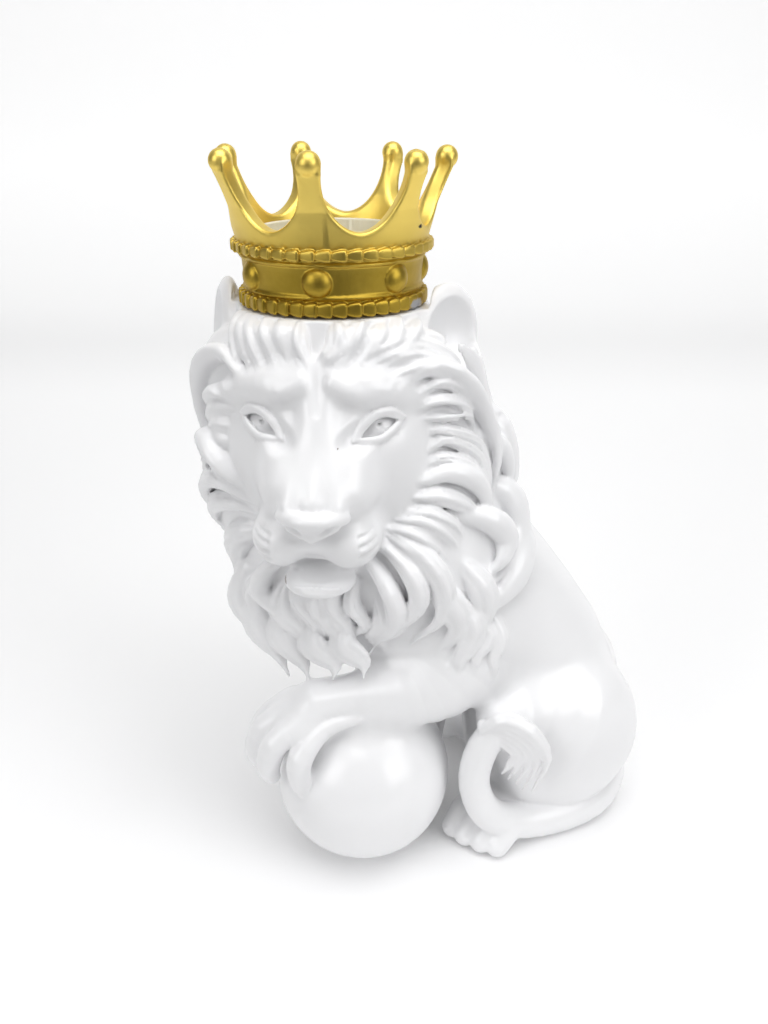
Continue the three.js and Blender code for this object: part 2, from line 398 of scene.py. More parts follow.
class Clay:
    """A block of clay: distances on a regular grid, in single precision.

    Args:
        low: The block's lowest corner.
        high: The block's highest corner.
        pitch: The grid's spacing.
    """

    FAR = 60.0

    def __init__(self, low: Vector, high: Vector, pitch: float) -> None:
        """Fills the block with distances far from anything."""
        self.low = np.array(low, float)
        self.pitch = pitch
        counts = np.ceil((np.array(high) - self.low) / pitch).astype(int) + 1
        self.field = np.full(counts, self.FAR, np.float32)
        self.axes = [
            (start + pitch * np.arange(n)).astype(np.float32).reshape([-1 if a == b else 1 for b in range(3)])
            for a, (start, n) in enumerate(zip(self.low, counts))
        ]

    def part(self, form: Form, margin: float) -> tuple[tuple[slice, ...], list[np.ndarray]]:
        """The part of the block round a form.

        Args:
            form: The form.
            margin: How far past it the part goes.

        Returns:
            Slices of the grid, and the grid's coordinates there.
        """
        lowest, highest = form.reach()
        first = np.maximum(np.floor((lowest - margin - self.low) / self.pitch).astype(int), 0)
        last = np.ceil((highest + margin - self.low) / self.pitch).astype(int) + 1
        last = np.minimum(last, self.field.shape)
        slices = tuple(slice(max(a, 0), max(b, 0)) for a, b in zip(first, last))
        x, y, z = self.axes
        return slices, [x[slices[0]], y[:, slices[1]], z[:, :, slices[2]]]

    def fuse(self, forms: Form | Iterable[Form], blend: float = 0.0) -> None:
        """Adds forms to the clay.

        Args:
            forms: One form or several.
            blend: The reach of the fillet round each.
        """
        for form in [forms] if isinstance(forms, Form) else forms:
            slices, places = self.part(form, blend + 4 * self.pitch)
            if all(s.stop > s.start for s in slices):
                self.field[slices] = soft_min(self.field[slices], form.distance(*places), blend)

    def carve(self, forms: Form | Iterable[Form], blend: float = 0.0) -> None:
        """Cuts forms out of the clay.

        Args:
            forms: One form or several.
            blend: The reach of the rounding round each.
        """
        for form in [forms] if isinstance(forms, Form) else forms:
            slices, places = self.part(form, blend + 4 * self.pitch)
            if all(s.stop > s.start for s in slices):
                self.field[slices] = -soft_min(-self.field[slices], form.distance(*places), blend)

    def cast(self) -> "Clay":
        """A copy of the clay as it is now, to lay things on.

        Returns:
            The copy.
        """
        twin = copy.copy(self)
        twin.field = self.field.copy()
        return twin

    def probe(self, points: np.ndarray) -> np.ndarray:
        """The distances at points between the grid's own.

        Args:
            points: An array of x, y and z.

        Returns:
            One distance for each point.
        """
        place = (points - self.low) / self.pitch
        place = np.clip(place, 0, np.array(self.field.shape) - 1.001)
        index = place.astype(int)
        t = place - index
        total = np.zeros(len(points))
        for corner in np.ndindex(2, 2, 2):
            weight = np.prod([t[:, a] if corner[a] else 1 - t[:, a] for a in range(3)], axis=0)
            total += weight * self.field[tuple((index + corner).T)]
        return total

    def slope(self, points: np.ndarray, span: float) -> np.ndarray:
        """Which way is out of the clay at points.

        Args:
            points: An array of x, y and z.
            span: How far round each point the slope is taken over.

        Returns:
            A unit vector for each point.
        """
        steps = np.eye(3) * span
        return unit(np.stack([self.probe(points + s) - self.probe(points - s) for s in steps], axis=1))

    def drape(
        self, points: np.ndarray, lift: float, span: float = 6.0, most: float = 9.0
    ) -> tuple[np.ndarray, np.ndarray]:
        """Lays points on the clay.

        Args:
            points: Where they are first.
            lift: How far over the surface they come to lie.
            span: How far round each point its slope is taken over.
            most: The furthest that a point may move.

        Returns:
            The laid points, and the way out of the clay at each.
        """
        laid = points.copy()
        for _ in range(6):
            laid = laid - (self.probe(laid) - lift)[:, None] * self.slope(laid, span) * 0.9
        moved = laid - points
        far = np.linalg.norm(moved, axis=1, keepdims=True)
        laid = points + moved * np.minimum(1, most / np.maximum(far, 1e-6))
        return laid, self.slope(laid, span)

    def mesh(self, name: str, faces: int) -> bpy.types.Object:
        """The clay's surface as an object in the frame.

        Args:
            name: The object's name.
            faces: The most triangles that it may have.

        Returns:
            The new object, smooth shaded.
        """
        grid = openvdb.FloatGrid(Clay.FAR)
        grid.copyFromArray(self.field)
        points, triangles, quads = grid.convertToPolygons(isovalue=0.0, adaptivity=0.0)
        placed = (points * self.pitch + self.low + CROWN_AXIS) * MM
        fours = quads[:, ::-1]
        threes = triangles[:, ::-1]
        mesh = bpy.data.meshes.new(name)
        mesh.from_pydata(placed.tolist(), [], threes.tolist() + fours.tolist())
        made = bpy.data.objects.new(name, mesh)
        bpy.context.scene.collection.objects.link(made)
        total = len(threes) + 2 * len(fours)
        log.info("%s comes off the clay with %d triangles", name, total)
        if total > faces:
            thin = made.modifiers.new("thin", "DECIMATE")
            thin.ratio = faces / total
            graph = bpy.context.evaluated_depsgraph_get()
            settled = bpy.data.meshes.new_from_object(made.evaluated_get(graph))
            made.modifiers.clear()
            made.data = settled
        keep_largest(made.data)
        made.data.name = name
        made.data.shade_smooth()
        log.info("%s has %d faces", name, len(made.data.polygons))
        return made


# ------------------------------------------------------------------------------- the lion


class Side(Enum):
    """The lion's two sides. The value is the sign of `a`, the place across its head."""

    RIGHT = -1
    LEFT = 1


@dataclass
class Head:
    """The head's own directions: `a` to the lion's left, `f` forward out of the face, `u` up.

    Args:
        turn: The head's turn about the crown's axis, in degrees.
    """

    turn: float = -5.0

    def at(self, a: float, f: float, u: float) -> tuple[float, float, float]:
        """A place on the head, in the lion's frame."""
        angle = math.radians(self.turn)
        return (a * math.cos(angle) + f * math.sin(angle), a * math.sin(angle) - f * math.cos(angle), u)

    def egg(self, centre: Vector, radii: Vector, turn: Vector = (0, 0, 0)) -> Egg:
        """An ellipsoid placed on the head."""
        return Egg(self.at(*centre), radii, (turn[0], turn[1], turn[2] + self.turn))

    def limb(self, stations: Sequence[Vector], fineness: int = 8) -> Limb:
        """A tube placed on the head, with stations of a, f, u and radius."""
        return Limb([(*self.at(a, f, u), r) for a, f, u, r in stations], fineness)

    def pair(self, centre: Vector, radii: Vector, turn: Vector = (0, 0, 0)) -> list[Egg]:
        """The same ellipsoid on both sides of the face.

        Args:
            centre: The left one's middle, as a, f and u.
            radii: The radii of each.
            turn: The left one's rotation, in degrees.

        Returns:
            The two ellipsoids, the right one first.
        """
        a, f, u = centre
        tip, lean, spin = turn
        return [self.egg((s.value * a, f, u), radii, (tip, s.value * lean, s.value * spin)) for s in Side]

    def limbs(self, stations: Sequence[Vector], fineness: int = 8) -> list[Limb]:
        """The same tube on both sides of the face."""
        return [self.limb([(s.value * a, f, u, r) for a, f, u, r in stations], fineness) for s in Side]


@dataclass
class Body:
    """The trunk, the legs, the tail and the ball."""

    def trunk(self, clay: Clay) -> None:
        """The spine and the chest."""
        spine = [(112, 4, 42, 44), (104, 4, 88, 42), (76, 3, 132, 41), (46, 0, 168, 42), (22, 0, 205, 42)]
        clay.fuse([Limb(spine, 10), Egg((37, -8, 126), (38, 37, 52))], 24)

    def hind_leg(self, clay: Clay, side: Side) -> None:
        """A folded hind leg with its foot flat on the floor.

        Args:
            clay: The clay that it is made in.
            side: Which side of the lion.
        """

        def y(out: float) -> float:
            """The place that far out from the body's middle."""
            return 4 - side.value * out

        clay.fuse(Egg((122, y(24), 60), (37, 27, 45), (0, 0, side.value * 7)), 9)
        clay.fuse(Limb([(112, y(27), 72, 28), (94, y(38), 82, 19), (86, y(44), 79, 14)], 5), 12)
        clay.fuse(Limb([(86, y(44), 78, 13), (94, y(36), 48, 12), (102, y(24), 18, 13)], 4), 8)
        clay.fuse(Limb([(104, y(18), 13, 13), (88, y(32), 13, 13), (78, y(41), 12, 12)], 4), 6)
        for toe, (dx, dy) in enumerate([(-8, -3), (-2, 3), (6, 8), (14, 11)]):
            root = (83 + dx * 0.8, y(36 + dy * 0.8), 16, 7.5)
            knuckle = (76 + dx, y(39 + dy), 15.5 - toe % 2, 7.2)
            tip = (69 + dx, y(45 + dy), 7.5, 6.4)
            clay.fuse(Limb([root, knuckle, tip], 5), 1.2)

    def far_foreleg(self, clay: Clay) -> None:
        """The right foreleg, standing behind the ball.

        Args:
            clay: The clay that it is made in.
        """
        leg = [(52, 22, 122, 25), (50, 22, 84, 18), (46, 16, 46, 14), (41, 9, 14, 12.5), (34, 5, 10, 11.5)]
        clay.fuse(Limb(leg, 8), 10)
        for spread in (-12, -4, 4, 12):
            toe = [(32, 5 + spread * 0.8, 12, 6), (25, 5 + spread, 11, 6.2), (20, 5 + spread, 6, 5.8)]
            clay.fuse(Limb(toe, 4), 2)

    def ball(self, clay: Clay) -> None:
        """The ball under the paw."""
        clay.fuse(Egg((12, -35, 44.5), (45, 45, 45)), 1.5)

    def near_foreleg(self, clay: Clay) -> None:
        """The left foreleg, laid over the ball, with its paw wrapped round the ball's far edge.

        Args:
            clay: The clay that it is made in.
        """
        leg = [
            (56, -14, 140, 32),
            (61, -26, 119, 27),
            (53, -37, 106, 21.5),
            (38, -43, 100, 17.5),
            (20, -46, 97.5, 15),
            (3, -48, 97, 12.8),
            (-10, -50, 96, 13),
        ]
        clay.fuse(Limb(leg, 14), 12)
        clay.fuse(Egg((-20, -50, 89), (16, 20, 12), (0, -18, 15)), 6)
        digits = [
            [(10, -59, 95, 3), (-6, -63, 91, 4.6), (-17, -70.5, 80, 6.2), (-18, -69, 66, 5.6),
             (-17, -66, 57, 4)],
            [(6, -57, 101, 3), (-14, -60, 96, 4.6), (-29, -65.5, 85, 6.6), (-34, -62, 69, 6),
             (-33, -58, 59, 4.2)],
            [(4, -51, 105, 3), (-17, -52, 99, 4.6), (-35, -54, 86, 6.6), (-41, -51, 70, 6),
             (-40, -48, 60, 4.2)],
            [(2, -45, 105, 3), (-16, -43, 98, 4.6), (-33, -42, 86, 6.4), (-41, -40, 71, 6),
             (-40, -38, 61, 4.2)],
        ]
        for digit in digits:
            clay.fuse(Limb(digit, 12), 1.3)

    def tail(self, clay: Clay) -> None:
        """The tail, swept round the near haunch along the floor and up over the foot.

        Args:
            clay: The clay that it is made in.
        """
        stem = [
            (136, 26, 18, 17),
            (147, 4, 16, 15.5),
            (138, -18, 13, 13),
            (116, -31, 11, 11.5),
            (92, -42, 15, 9.5),
            (76, -50, 29, 8.6),
            (69, -52, 50, 8),
            (72, -52, 70, 8),
            (80, -52, 84, 7),
        ]
        clay.fuse(Limb(stem, 26), 2)

    def tuft(self, clay: Clay) -> None:
        """The tuft of curled strands at the tail's end.

        Args:
            clay: The clay that it is made in.
        """
        for i in range(5):
            inset = i * 4.0
            line = smooth_path(
                [
                    (72, -54 + i * 0.6, 84 + inset * 0.1),
                    (82, -58 + i * 0.6, 93 - inset * 0.8),
                    (96 - inset * 0.4, -60 + i, 85 - inset * 0.8),
                    (104 - inset * 1.1, -59 + i, 68 - inset * 0.3),
                    (97 - inset * 0.9, -57 + i, 46 + inset * 0.6),
                ],
                12,
            )
            normals = np.tile([0.25, -1.0, 0.2], (len(line), 1))
            clay.fuse(Lock(line, unit(normals), 5.0, 4.0, strands=2, groove=0.8), 0.8)


@dataclass
class Face:
    """The lion's face, in the head's own directions.

    Args:
        head: The head that it is on.
    """

    head: Head

    def skull(self, clay: Clay) -> None:
        """The head under the hair, with the cheeks and the brow's mass.

        Args:
            clay: The clay that it is made in.
        """
        head = self.head
        clay.fuse(head.egg((0, 10, 238), (44, 40, 46)), 14)
        clay.fuse(head.egg((0, 27, 254), (38, 22, 23)), 10)
        clay.fuse(head.pair((22, 26, 216), (21, 22, 31), (0, 8, 0)), 12)
        clay.fuse(head.pair((22, 36, 228), (17, 16, 18)), 10)

    def muzzle(self, clay: Clay) -> None:
        """The bridge of the nose, the lip pads and the open mouth over the chin.

        Args:
            clay: The clay that it is made in.
        """
        head = self.head
        clay.fuse(head.egg((-1, 43, 212), (27, 28, 22), (-25, 0, 0)), 12)
        clay.fuse(head.limbs([(9, 41, 248, 10), (10.5, 53, 231, 11), (11, 61.5, 216, 12.5)], 6), 10)
        ridge = [(3.4, 47, 262, 6), (3.6, 56.5, 242, 4.6), (5, 65, 228, 4.6), (9.5, 75, 213.5, 4.6)]
        clay.fuse(head.limbs(ridge, 8), 4)
        clay.fuse(head.limb([(0, 47, 260, 8), (0, 60.5, 232, 6.4), (0, 74.5, 214.5, 6.4)], 6), 4)
        clay.fuse([head.egg((-16, 57, 193), (14, 18.5, 14)), head.egg((13.5, 57, 193), (14, 18.5, 14))], 6)
        clay.fuse(head.egg((-1, 62, 197), (15, 14.5, 9)), 6)
        clay.carve(head.limb([(0, 79.5, 200, 0.5), (0, 79, 195, 0.8), (0, 78, 190, 2.0)], 5), 3)
        clay.fuse(head.egg((0, 48, 178), (18, 16, 11)), 3)
        clay.carve(head.limbs([(0, 80, 187, 2.0), (7, 78, 182.5, 2.0), (14, 71, 178.5, 2.0)], 6), 2)
        clay.carve(head.egg((0, 77, 180), (15, 9, 4.4)), 1.5)
        clay.fuse(head.egg((0, 55, 186.5), (12, 13.5, 5)), 2)
        clay.fuse(head.egg((0, 61, 172.6), (16, 15, 4.8), (4, 0, 0)), 1.2)
        clay.carve(head.egg((0, 67, 180.4), (13, 8.5, 5.4), (4, 0, 0)), 0.8)

    def nose(self, clay: Clay) -> None:
        """The nose pad and its nostrils.

        Args:
            clay: The clay that it is made in.
        """
        head = self.head
        pad = [(-13, 76, 209.6, 3), (-6, 82, 210, 3.6), (0, 83.5, 210, 3.8), (6, 82, 210, 3.6),
               (13, 76, 209.6, 3)]
        clay.fuse(head.limb(pad, 8), 1.5)
        clay.fuse(head.limbs([(9, 79, 207.5, 3.2), (4, 80.5, 204.8, 3), (0, 81, 202.6, 2.4)], 5), 1.2)
        clay.fuse(head.egg((0, 78.5, 207.5), (7, 6, 4.6)), 2)
        skin = clay.cast()
        slit = [(4.6, 86, 203.6), (7.2, 86, 205), (10.4, 84, 206.6), (13, 80, 206)]
        for side in Side:
            line = self.laid(skin, [(side.value * a, f, u) for a, f, u in slit], 0.3)
            radii = np.interp(np.linspace(0, 1, len(line)), (0, 0.4, 1), (0.7, 1.7, 0.6))
            clay.carve(Limb([(*p, r) for p, r in zip(line, radii)], 8), 0.8)

    def brows(self, clay: Clay) -> None:
        """The heavy brows: a flat facet above each eye, and a furrow between them.

        Args:
            clay: The clay that it is made in.
        """
        head = self.head
        ridge = [(9, 47, 259, 9), (18, 47, 257.5, 9), (27, 43.5, 255.5, 8), (38, 35, 251, 6)]
        clay.fuse(head.limbs(ridge, 8), 5)
        clay.fuse(head.limbs([(7, 53, 260, 4.6), (14, 54.5, 257, 3.6), (20, 53, 254.5, 2.2)], 5), 3)
        clay.carve(head.limb([(0, 56.5, 268, 3.4), (0, 58.5, 258, 2.2), (0, 61, 250, 0.6)], 5), 4)

    def laid(self, skin: Clay, points: Sequence[Vector], lift: float) -> np.ndarray:
        """Points of the head laid on the skin.

        Args:
            skin: The clay as it is before the detail.
            points: Places as a, f and u.
            lift: How far over the skin they come to lie.

        Returns:
            The laid points, in the lion's frame.
        """
        line = smooth_path([self.head.at(*p) for p in points], 3 * len(points) - 2)
        return skin.drape(line, lift, 1.6)[0]

    def eyes(self, clay: Clay) -> None:
        """The slanted eyes, each sunk under doubled lids, with a small drilled pupil.

        Args:
            clay: The clay that it is made in.
        """
        rim = [(34.5, 46, 243.4), (30, 49.5, 246), (24.6, 52.5, 245.6), (19.4, 54, 241.4),
               (16, 54.5, 235.8)]
        under = [(16, 54.5, 235.8), (21, 53.5, 235.4), (26.4, 52, 236.8), (31, 49.5, 239.8),
                 (34.5, 46, 243.4)]
        head = self.head
        clay.carve(head.pair((24, 62, 242), (16, 10.5, 8.5), (0, -22, 16)), 2)
        skin = clay.cast()
        for side in Side:
            almond = self.laid(skin, [(side.value * a, f, u) for a, f, u in [*rim, *under[1:-1]]], -0.5)
            middle = almond.mean(0)
            for share in (0.3, 0.5, 0.7):
                ring = middle + (almond - middle) * share
                clay.carve(Limb([(*p, 2.0) for p in [*ring, ring[0]]], 24), 0.6)
            ball = self.laid(skin, [(side.value * 26, 50, 241)] * 2, -5.2)[0]
            clay.fuse(Egg(ball, (9.5, 5.6, 6.8), (0, 0, side.value * 24 + head.turn)), 0)
            drilled = self.laid(clay.cast(), [(side.value * 26.5, 54, 242.6)] * 2, 0.2)[0]
            clay.carve(Egg(drilled, (0.9, 2.6, 0.9)), 0)
            for path, spread, lift, size in (
                (rim, 1.0, 0.9, 1.5),
                (under, 1.0, 0.5, 1.25),
                (rim, 1.26, 0.9, 1.3),
                (under, 1.25, 0.3, 1.0),
            ):
                scaled = [(25.4 + (a - 25.4) * spread, f, 241 + (u - 241) * spread) for a, f, u in path]
                line = self.laid(skin, [(side.value * a, f, u) for a, f, u in scaled], lift)
                ends = np.interp(np.linspace(0, 1, len(line)), (0, 0.2, 0.8, 1), (0.6, 1, 1, 0.6))
                clay.fuse(Limb([(*p, size * e) for p, e in zip(line, ends)], 16), 0.3)

    def lips(self, clay: Clay) -> None:
        """The whisker rows and the row of small bumps along the lower lip.

        Args:
            clay: The clay that it is made in.
        """
        skin = clay.cast()
        for side, rows in ((Side.RIGHT, 4), (Side.LEFT, 3)):
            for row in range(rows):
                u = 200.5 - row * (4.2 if side is Side.RIGHT else 5)
                whisker = [(20.5, 74, u - 0.6), (24, 71, u), (28.5, 66, u + 1.8)]
                line = self.laid(skin, [(side.value * a, f, v) for a, f, v in whisker], 0)
                clay.carve(Limb([(*p, r) for p, r in zip(line, np.linspace(1.3, 0.5, len(line)))], 6), 0.5)
        for bump in range(-5, 6):
            place = self.laid(skin, [(bump * 2.3, 75, 176.6 + 0.05 * bump * bump)] * 2, 0)[0]
            clay.fuse(Egg(place, (1.1, 1.1, 1.1)), 0.4)

    def ear(self, clay: Clay, side: Side) -> None:
        """An upright ear, leaning out from the crown and hollow in front. The right one looks outwards.

        Args:
            clay: The clay that it is made in.
            side: Which side of the lion.
        """
        head = self.head
        a = side.value
        spin, out, ahead, top = (36, 51, 8, 269) if side is Side.LEFT else (66, 52, -6, 268)
        inward = math.radians(spin)
        clay.fuse(head.egg((a * out, ahead, top), (18, 7, 25), (-6, a * 12, a * spin)), 4)
        scoop = (a * (out + 1 + 8 * math.sin(inward)), ahead + 8 * math.cos(inward), top + 4)
        clay.carve(head.egg(scoop, (14.5, 8.5, 19), (-6, a * 12, a * spin)), 1)


@dataclass
class Fan:
    """Locks of hair side by side, from one guide to another.

    Args:
        first: The first lock's path on the head, as a, f and u.
        last: The last lock's path, with as many places.
        count: How many locks.
        width: Half the width of each.
        depth: Half the thickness of each.
        strands: How many strands each is combed into.
        lift: How far over the mass they lie.
        groove: How deep the combing is.
    """

    first: Sequence[Vector]
    last: Sequence[Vector] | None = None
    count: int = 1
    width: float = 5.0
    depth: float = 4.5
    strands: float = 1
    lift: float = 1.5
    groove: float = 1.1

    def paths(self) -> list[np.ndarray]:
        """The path of each lock.

        Returns:
            A row of places for each lock.
        """
        if self.last is None:
            return [np.array(self.first, float)]
        first, last = np.array(self.first, float), np.array(self.last, float)
        return [first + (last - first) * share for share in np.linspace(0, 1, self.count)]


@dataclass
class Mane:
    """The mane: masses of hair, with combed locks laid over them.

    Args:
        head: The head that it grows from.
        centre: The middle of the mane's main mass.
        radii: The radii of that mass.
        face: Half the width and half the height of the hairless face.
        middle: Height of the face's middle.
        root_sink: How far a lock's root is sunk in.
        tip_sink: How far its tip is.
        soft: The reach of the fillet between locks.
    """

    head: Head
    centre: Vector = (7, -8, 205)
    radii: Vector = (69, 38, 74)
    face: Vector = (42, 49)
    middle: float = 221
    root_sink: float = 6.0
    tip_sink: float = 5.0
    soft: float = 1.35

    def masses(self, clay: Clay) -> None:
        """The smooth bulk under the locks.

        Args:
            clay: The clay that it is made in.
        """
        clay.fuse(Egg(self.centre, self.radii), 16)
        clay.fuse([Egg((34, -14, 166), (48, 38, 38)), Egg((38, 4, 196), (45, 40, 46))], 16)
        clay.fuse(Egg((4, 8, 236), (50, 46, 48)), 16)
        temples = [((-25, 12, 246), (32, 26, 32)), ((31, 12, 248), (32, 26, 33))]
        clay.fuse([self.head.egg(centre, radii) for centre, radii in temples], 10)
        clay.fuse(self.head.egg((-5, 28, 152), (35, 17, 38)), 12)
        clay.fuse(self.head.egg((48, 22, 160), (26, 20, 30)), 10)
        clay.fuse(Disc(43.5, 250, 283.7), 8)

    def hollow_for_face(self, clay: Clay) -> None:
        """Keeps the bulk behind the hairless face."""
        clay.carve(self.head.egg((0, 68, self.middle + 2), (44, 34, 50)), 6)

    def root(self, roll: float) -> tuple[float, float]:
        """Where the hairless face's edge lies on the main mass.

        Args:
            roll: The angle round the face from its top, towards the lion's left, in degrees.

        Returns:
            The angles round the main mass and back from its front, in radians.
        """
        angle = math.radians(roll)
        x, _, z = self.head.at(self.face[0] * math.sin(angle), 38, 0)
        z = self.middle + self.face[1] * math.cos(angle)
        across, up = (x - self.centre[0]) / self.radii[0], (z - self.centre[2]) / self.radii[2]
        return math.atan2(across, up), math.asin(min(math.hypot(across, up), 0.99))

    def on_mass(self, round_angle: float, back: float) -> list[float]:
        """A place on the main mass.

        Args:
            round_angle: The angle round the mass from its top, in radians.
            back: The angle back from its front, in radians.

        Returns:
            Its x, y and z.
        """
        across = math.sin(back)
        way = (across * math.sin(round_angle), -math.cos(back), across * math.cos(round_angle))
        return [c + r * w for c, r, w in zip(self.centre, self.radii, way)]

    def lock(self, clay: Clay, path: Sequence[Vector], lift: float, **shape: float) -> None:
        """Lays one lock on the clay along a path, with its root and its tip sunk in.

        Args:
            clay: What it is laid on.
            path: Places along the lock.
            lift: How far over the clay it lies.
            shape: Its sizes.
        """
        points, normals = self.bulk.drape(smooth_path(path, 15), lift)
        share = np.linspace(0, 1, len(points))
        sunk = self.root_sink * np.maximum(0, 1 - share / 0.32) ** 1.3
        sunk = sunk + self.tip_sink * np.maximum(0, share / 0.25 - 3)
        clay.fuse(Lock(points - sunk[:, None] * normals, normals, **shape), self.soft)

    def tier(
        self,
        clay: Clay,
        rolls: Sequence[float],
        start: float,
        length: float,
        sweep: float,
        lift: float,
        jitter: np.random.Generator,
        **shape: float,
    ) -> None:
        """A tier of locks round the back of the mass.

        Args:
            clay: What they are laid on.
            rolls: Where round the face each has its root, in degrees.
            start: How far behind the face's edge they begin, in degrees.
            length: How far back they run, in degrees.
            sweep: How far they are combed down, in degrees.
            lift: How far over the clay they lie.
            jitter: Small differences from one to the next.
            shape: The locks' sizes.
        """
        for roll in rolls:
            angle, back = self.root(roll)
            down = math.copysign(1, math.sin(angle))
            vary = 1 + 0.16 * jitter.standard_normal()
            curl = math.radians(sweep) * (1 + 0.2 * jitter.standard_normal())
            path = []
            for share in (0, 0.25, 0.5, 0.75, 1.0):
                bend = down * curl * (share**2.2 - 0.22 * math.sin(math.pi * share))
                depth = back + math.radians(start + length * vary * share**0.9)
                path.append(self.on_mass(angle + bend, depth))
            scale = 1 + 0.1 * jitter.standard_normal()
            self.lock(clay, path, lift, **{**shape, "width": shape["width"] * scale})

    def lay(self, clay: Clay, fans: Sequence[Fan], jitter: np.random.Generator) -> None:
        """Lays fans of locks, each over the one before, with small differences between them.

        Args:
            clay: What they are laid on.
            fans: The fans, the rearmost first.
            jitter: Small differences from one to the next.
        """
        for fan in fans:
            for path in fan.paths():
                loose = 0.9 if fan.count > 1 else 0.0
                places = [self.head.at(*(p + loose * jitter.standard_normal(3))) for p in path]
                width = fan.width * (1 + 0.14 * loose * jitter.standard_normal())
                shape = {"width": width, "depth": fan.depth, "strands": fan.strands, "groove": fan.groove}
                self.lock(clay, places, fan.lift, **shape)

    def outer(self) -> list[Fan]:
        """The big smooth locks down the left side, behind the combed ones.

        Returns:
            The fans, the rearmost first.
        """
        return [
            Fan([(44, 22, 277), (58, 12, 270), (70, 5, 256), (76, 3, 240), (76, 4, 224)],
                width=9, depth=6, lift=2),
            Fan([(40, 28, 276), (54, 20, 270), (65, 14, 256), (70, 11, 240), (69, 12, 226)],
                width=6, depth=5, lift=3),
            Fan([(68, 8, 242), (79, 4, 231), (83, 2, 214), (81, 4, 200), (73, 12, 188)],
                width=9, depth=6, lift=2),
            Fan([(68, 16, 228), (75, 12, 218), (77, 10, 206), (73, 14, 194)], width=5, depth=5, lift=3),
            Fan([(80, 8, 184), (86, 12, 172), (86, 24, 160), (78, 34, 151), (66, 41, 139)],
                width=9, depth=6.5, lift=2),
            Fan([(68, 16, 204), (80, 12, 194), (85, 13, 180), (82, 22, 168), (71, 34, 157)],
                width=9, depth=6.5, lift=3),
            Fan([(58, 32, 194), (68, 27, 190), (77, 24, 179), (75, 29, 169), (68, 34, 162)],
                width=7, depth=7, lift=4),
            Fan([(60, 36, 172), (70, 38, 160), (74, 40, 146), (66, 44, 130)],
                width=8, depth=6, strands=2, lift=1.5),
        ]

    def combed_left(self) -> list[Fan]:
        """The combed strands between the face and the outer locks, on the lion's left.

        Returns:
            The fans, the rearmost first.
        """
        return [
            Fan(
                [(41, 40, 253), (52, 36, 256), (62, 27, 248), (67, 22, 236)],
                [(44, 39, 241), (54, 35, 243), (63, 26, 238), (67, 22, 228)],
                3, 3.4, 4.4, 2, 2.2,
            ),
            Fan(
                [(45, 38, 234), (56, 35, 236), (66, 25, 226), (68, 21, 206), (65, 24, 186)],
                [(46, 38, 220), (54, 36, 223), (63, 28, 216), (65, 24, 202), (63, 26, 186)],
                3, 3.6, 4.6, 3, 2.4,
            ),
            Fan([(40, 42, 206), (51, 37, 205), (61, 29, 195), (64, 26, 176)],
                width=5.0, depth=5.5, strands=2, lift=2.2),
            Fan([(37, 43, 200), (47, 38, 197), (56, 32, 186), (60, 28, 168)],
                width=4.0, depth=5.0, strands=2, lift=2.2),
            Fan([(44, 40, 213), (55, 36, 216), (64, 28, 209), (67, 24, 196), (63, 26, 180)],
                width=5.6, depth=6.5, lift=3.2),
            Fan(
                [(33, 45, 197), (44, 40, 194), (54, 34, 180), (59, 30, 162)],
                [(28, 47, 190), (39, 44, 184), (49, 38, 168), (55, 34, 148)],
                3, 4.2, 5.0, 2, 2.6,
            ),
            Fan([(34, 43, 258), (50, 35, 264), (64, 25, 251), (72, 17, 232), (72, 17, 212), (67, 23, 186)],
                width=4.2, depth=6.5, lift=4.0),
        ]

    def right_side(self) -> list[Fan]:
        """The curled locks on the lion's right, from the temple down to the jaw.

        Returns:
            The fans, the rearmost first.
        """
        return [
            Fan([(-36, 20, 272), (-47, 14, 266), (-55, 10, 254), (-58, 8, 236), (-58, 8, 216)],
                width=9, depth=5),
            Fan([(-28, 42, 186), (-40, 37, 182), (-51, 33, 168), (-53, 32, 152), (-42, 36, 136)],
                width=8, depth=6, strands=3, lift=2),
            Fan([(-30, 43, 196), (-43, 38, 199), (-56, 30, 193), (-60, 26, 182), (-54, 28, 170)],
                width=5.5, depth=5, strands=2, lift=2),
            Fan([(-33, 42, 203), (-45, 37, 209), (-57, 29, 205), (-63, 24, 193), (-58, 26, 180)],
                width=5, depth=6, strands=2, lift=3),
            Fan(
                [(-36, 39, 243), (-48, 35, 242), (-58, 27, 236), (-64, 21, 224)],
                [(-36, 39, 228), (-47, 36, 229), (-56, 29, 227), (-62, 22, 216)],
                3, 5.0, 3.6, 2, 1.4, 0.7,
            ),
            Fan([(-34, 41, 206), (-43, 37, 213), (-53, 31, 219), (-61, 26, 213), (-63, 23, 200)],
                width=4.4, depth=5, strands=2, lift=2.6),
            Fan([(-36, 40, 212), (-45, 36, 221), (-56, 30, 227), (-65, 23, 221), (-67, 19, 206)],
                width=4.8, depth=7, lift=4),
            Fan([(-37, 39, 252), (-46, 36, 251), (-56, 28, 246), (-63, 22, 234)],
                width=3.6, depth=5, lift=2),
            Fan([(-34, 40, 259), (-46, 33, 268), (-58, 25, 262), (-65, 18, 247), (-65, 17, 230),
                 (-58, 23, 219)], width=4.6, depth=7, lift=4),
        ]

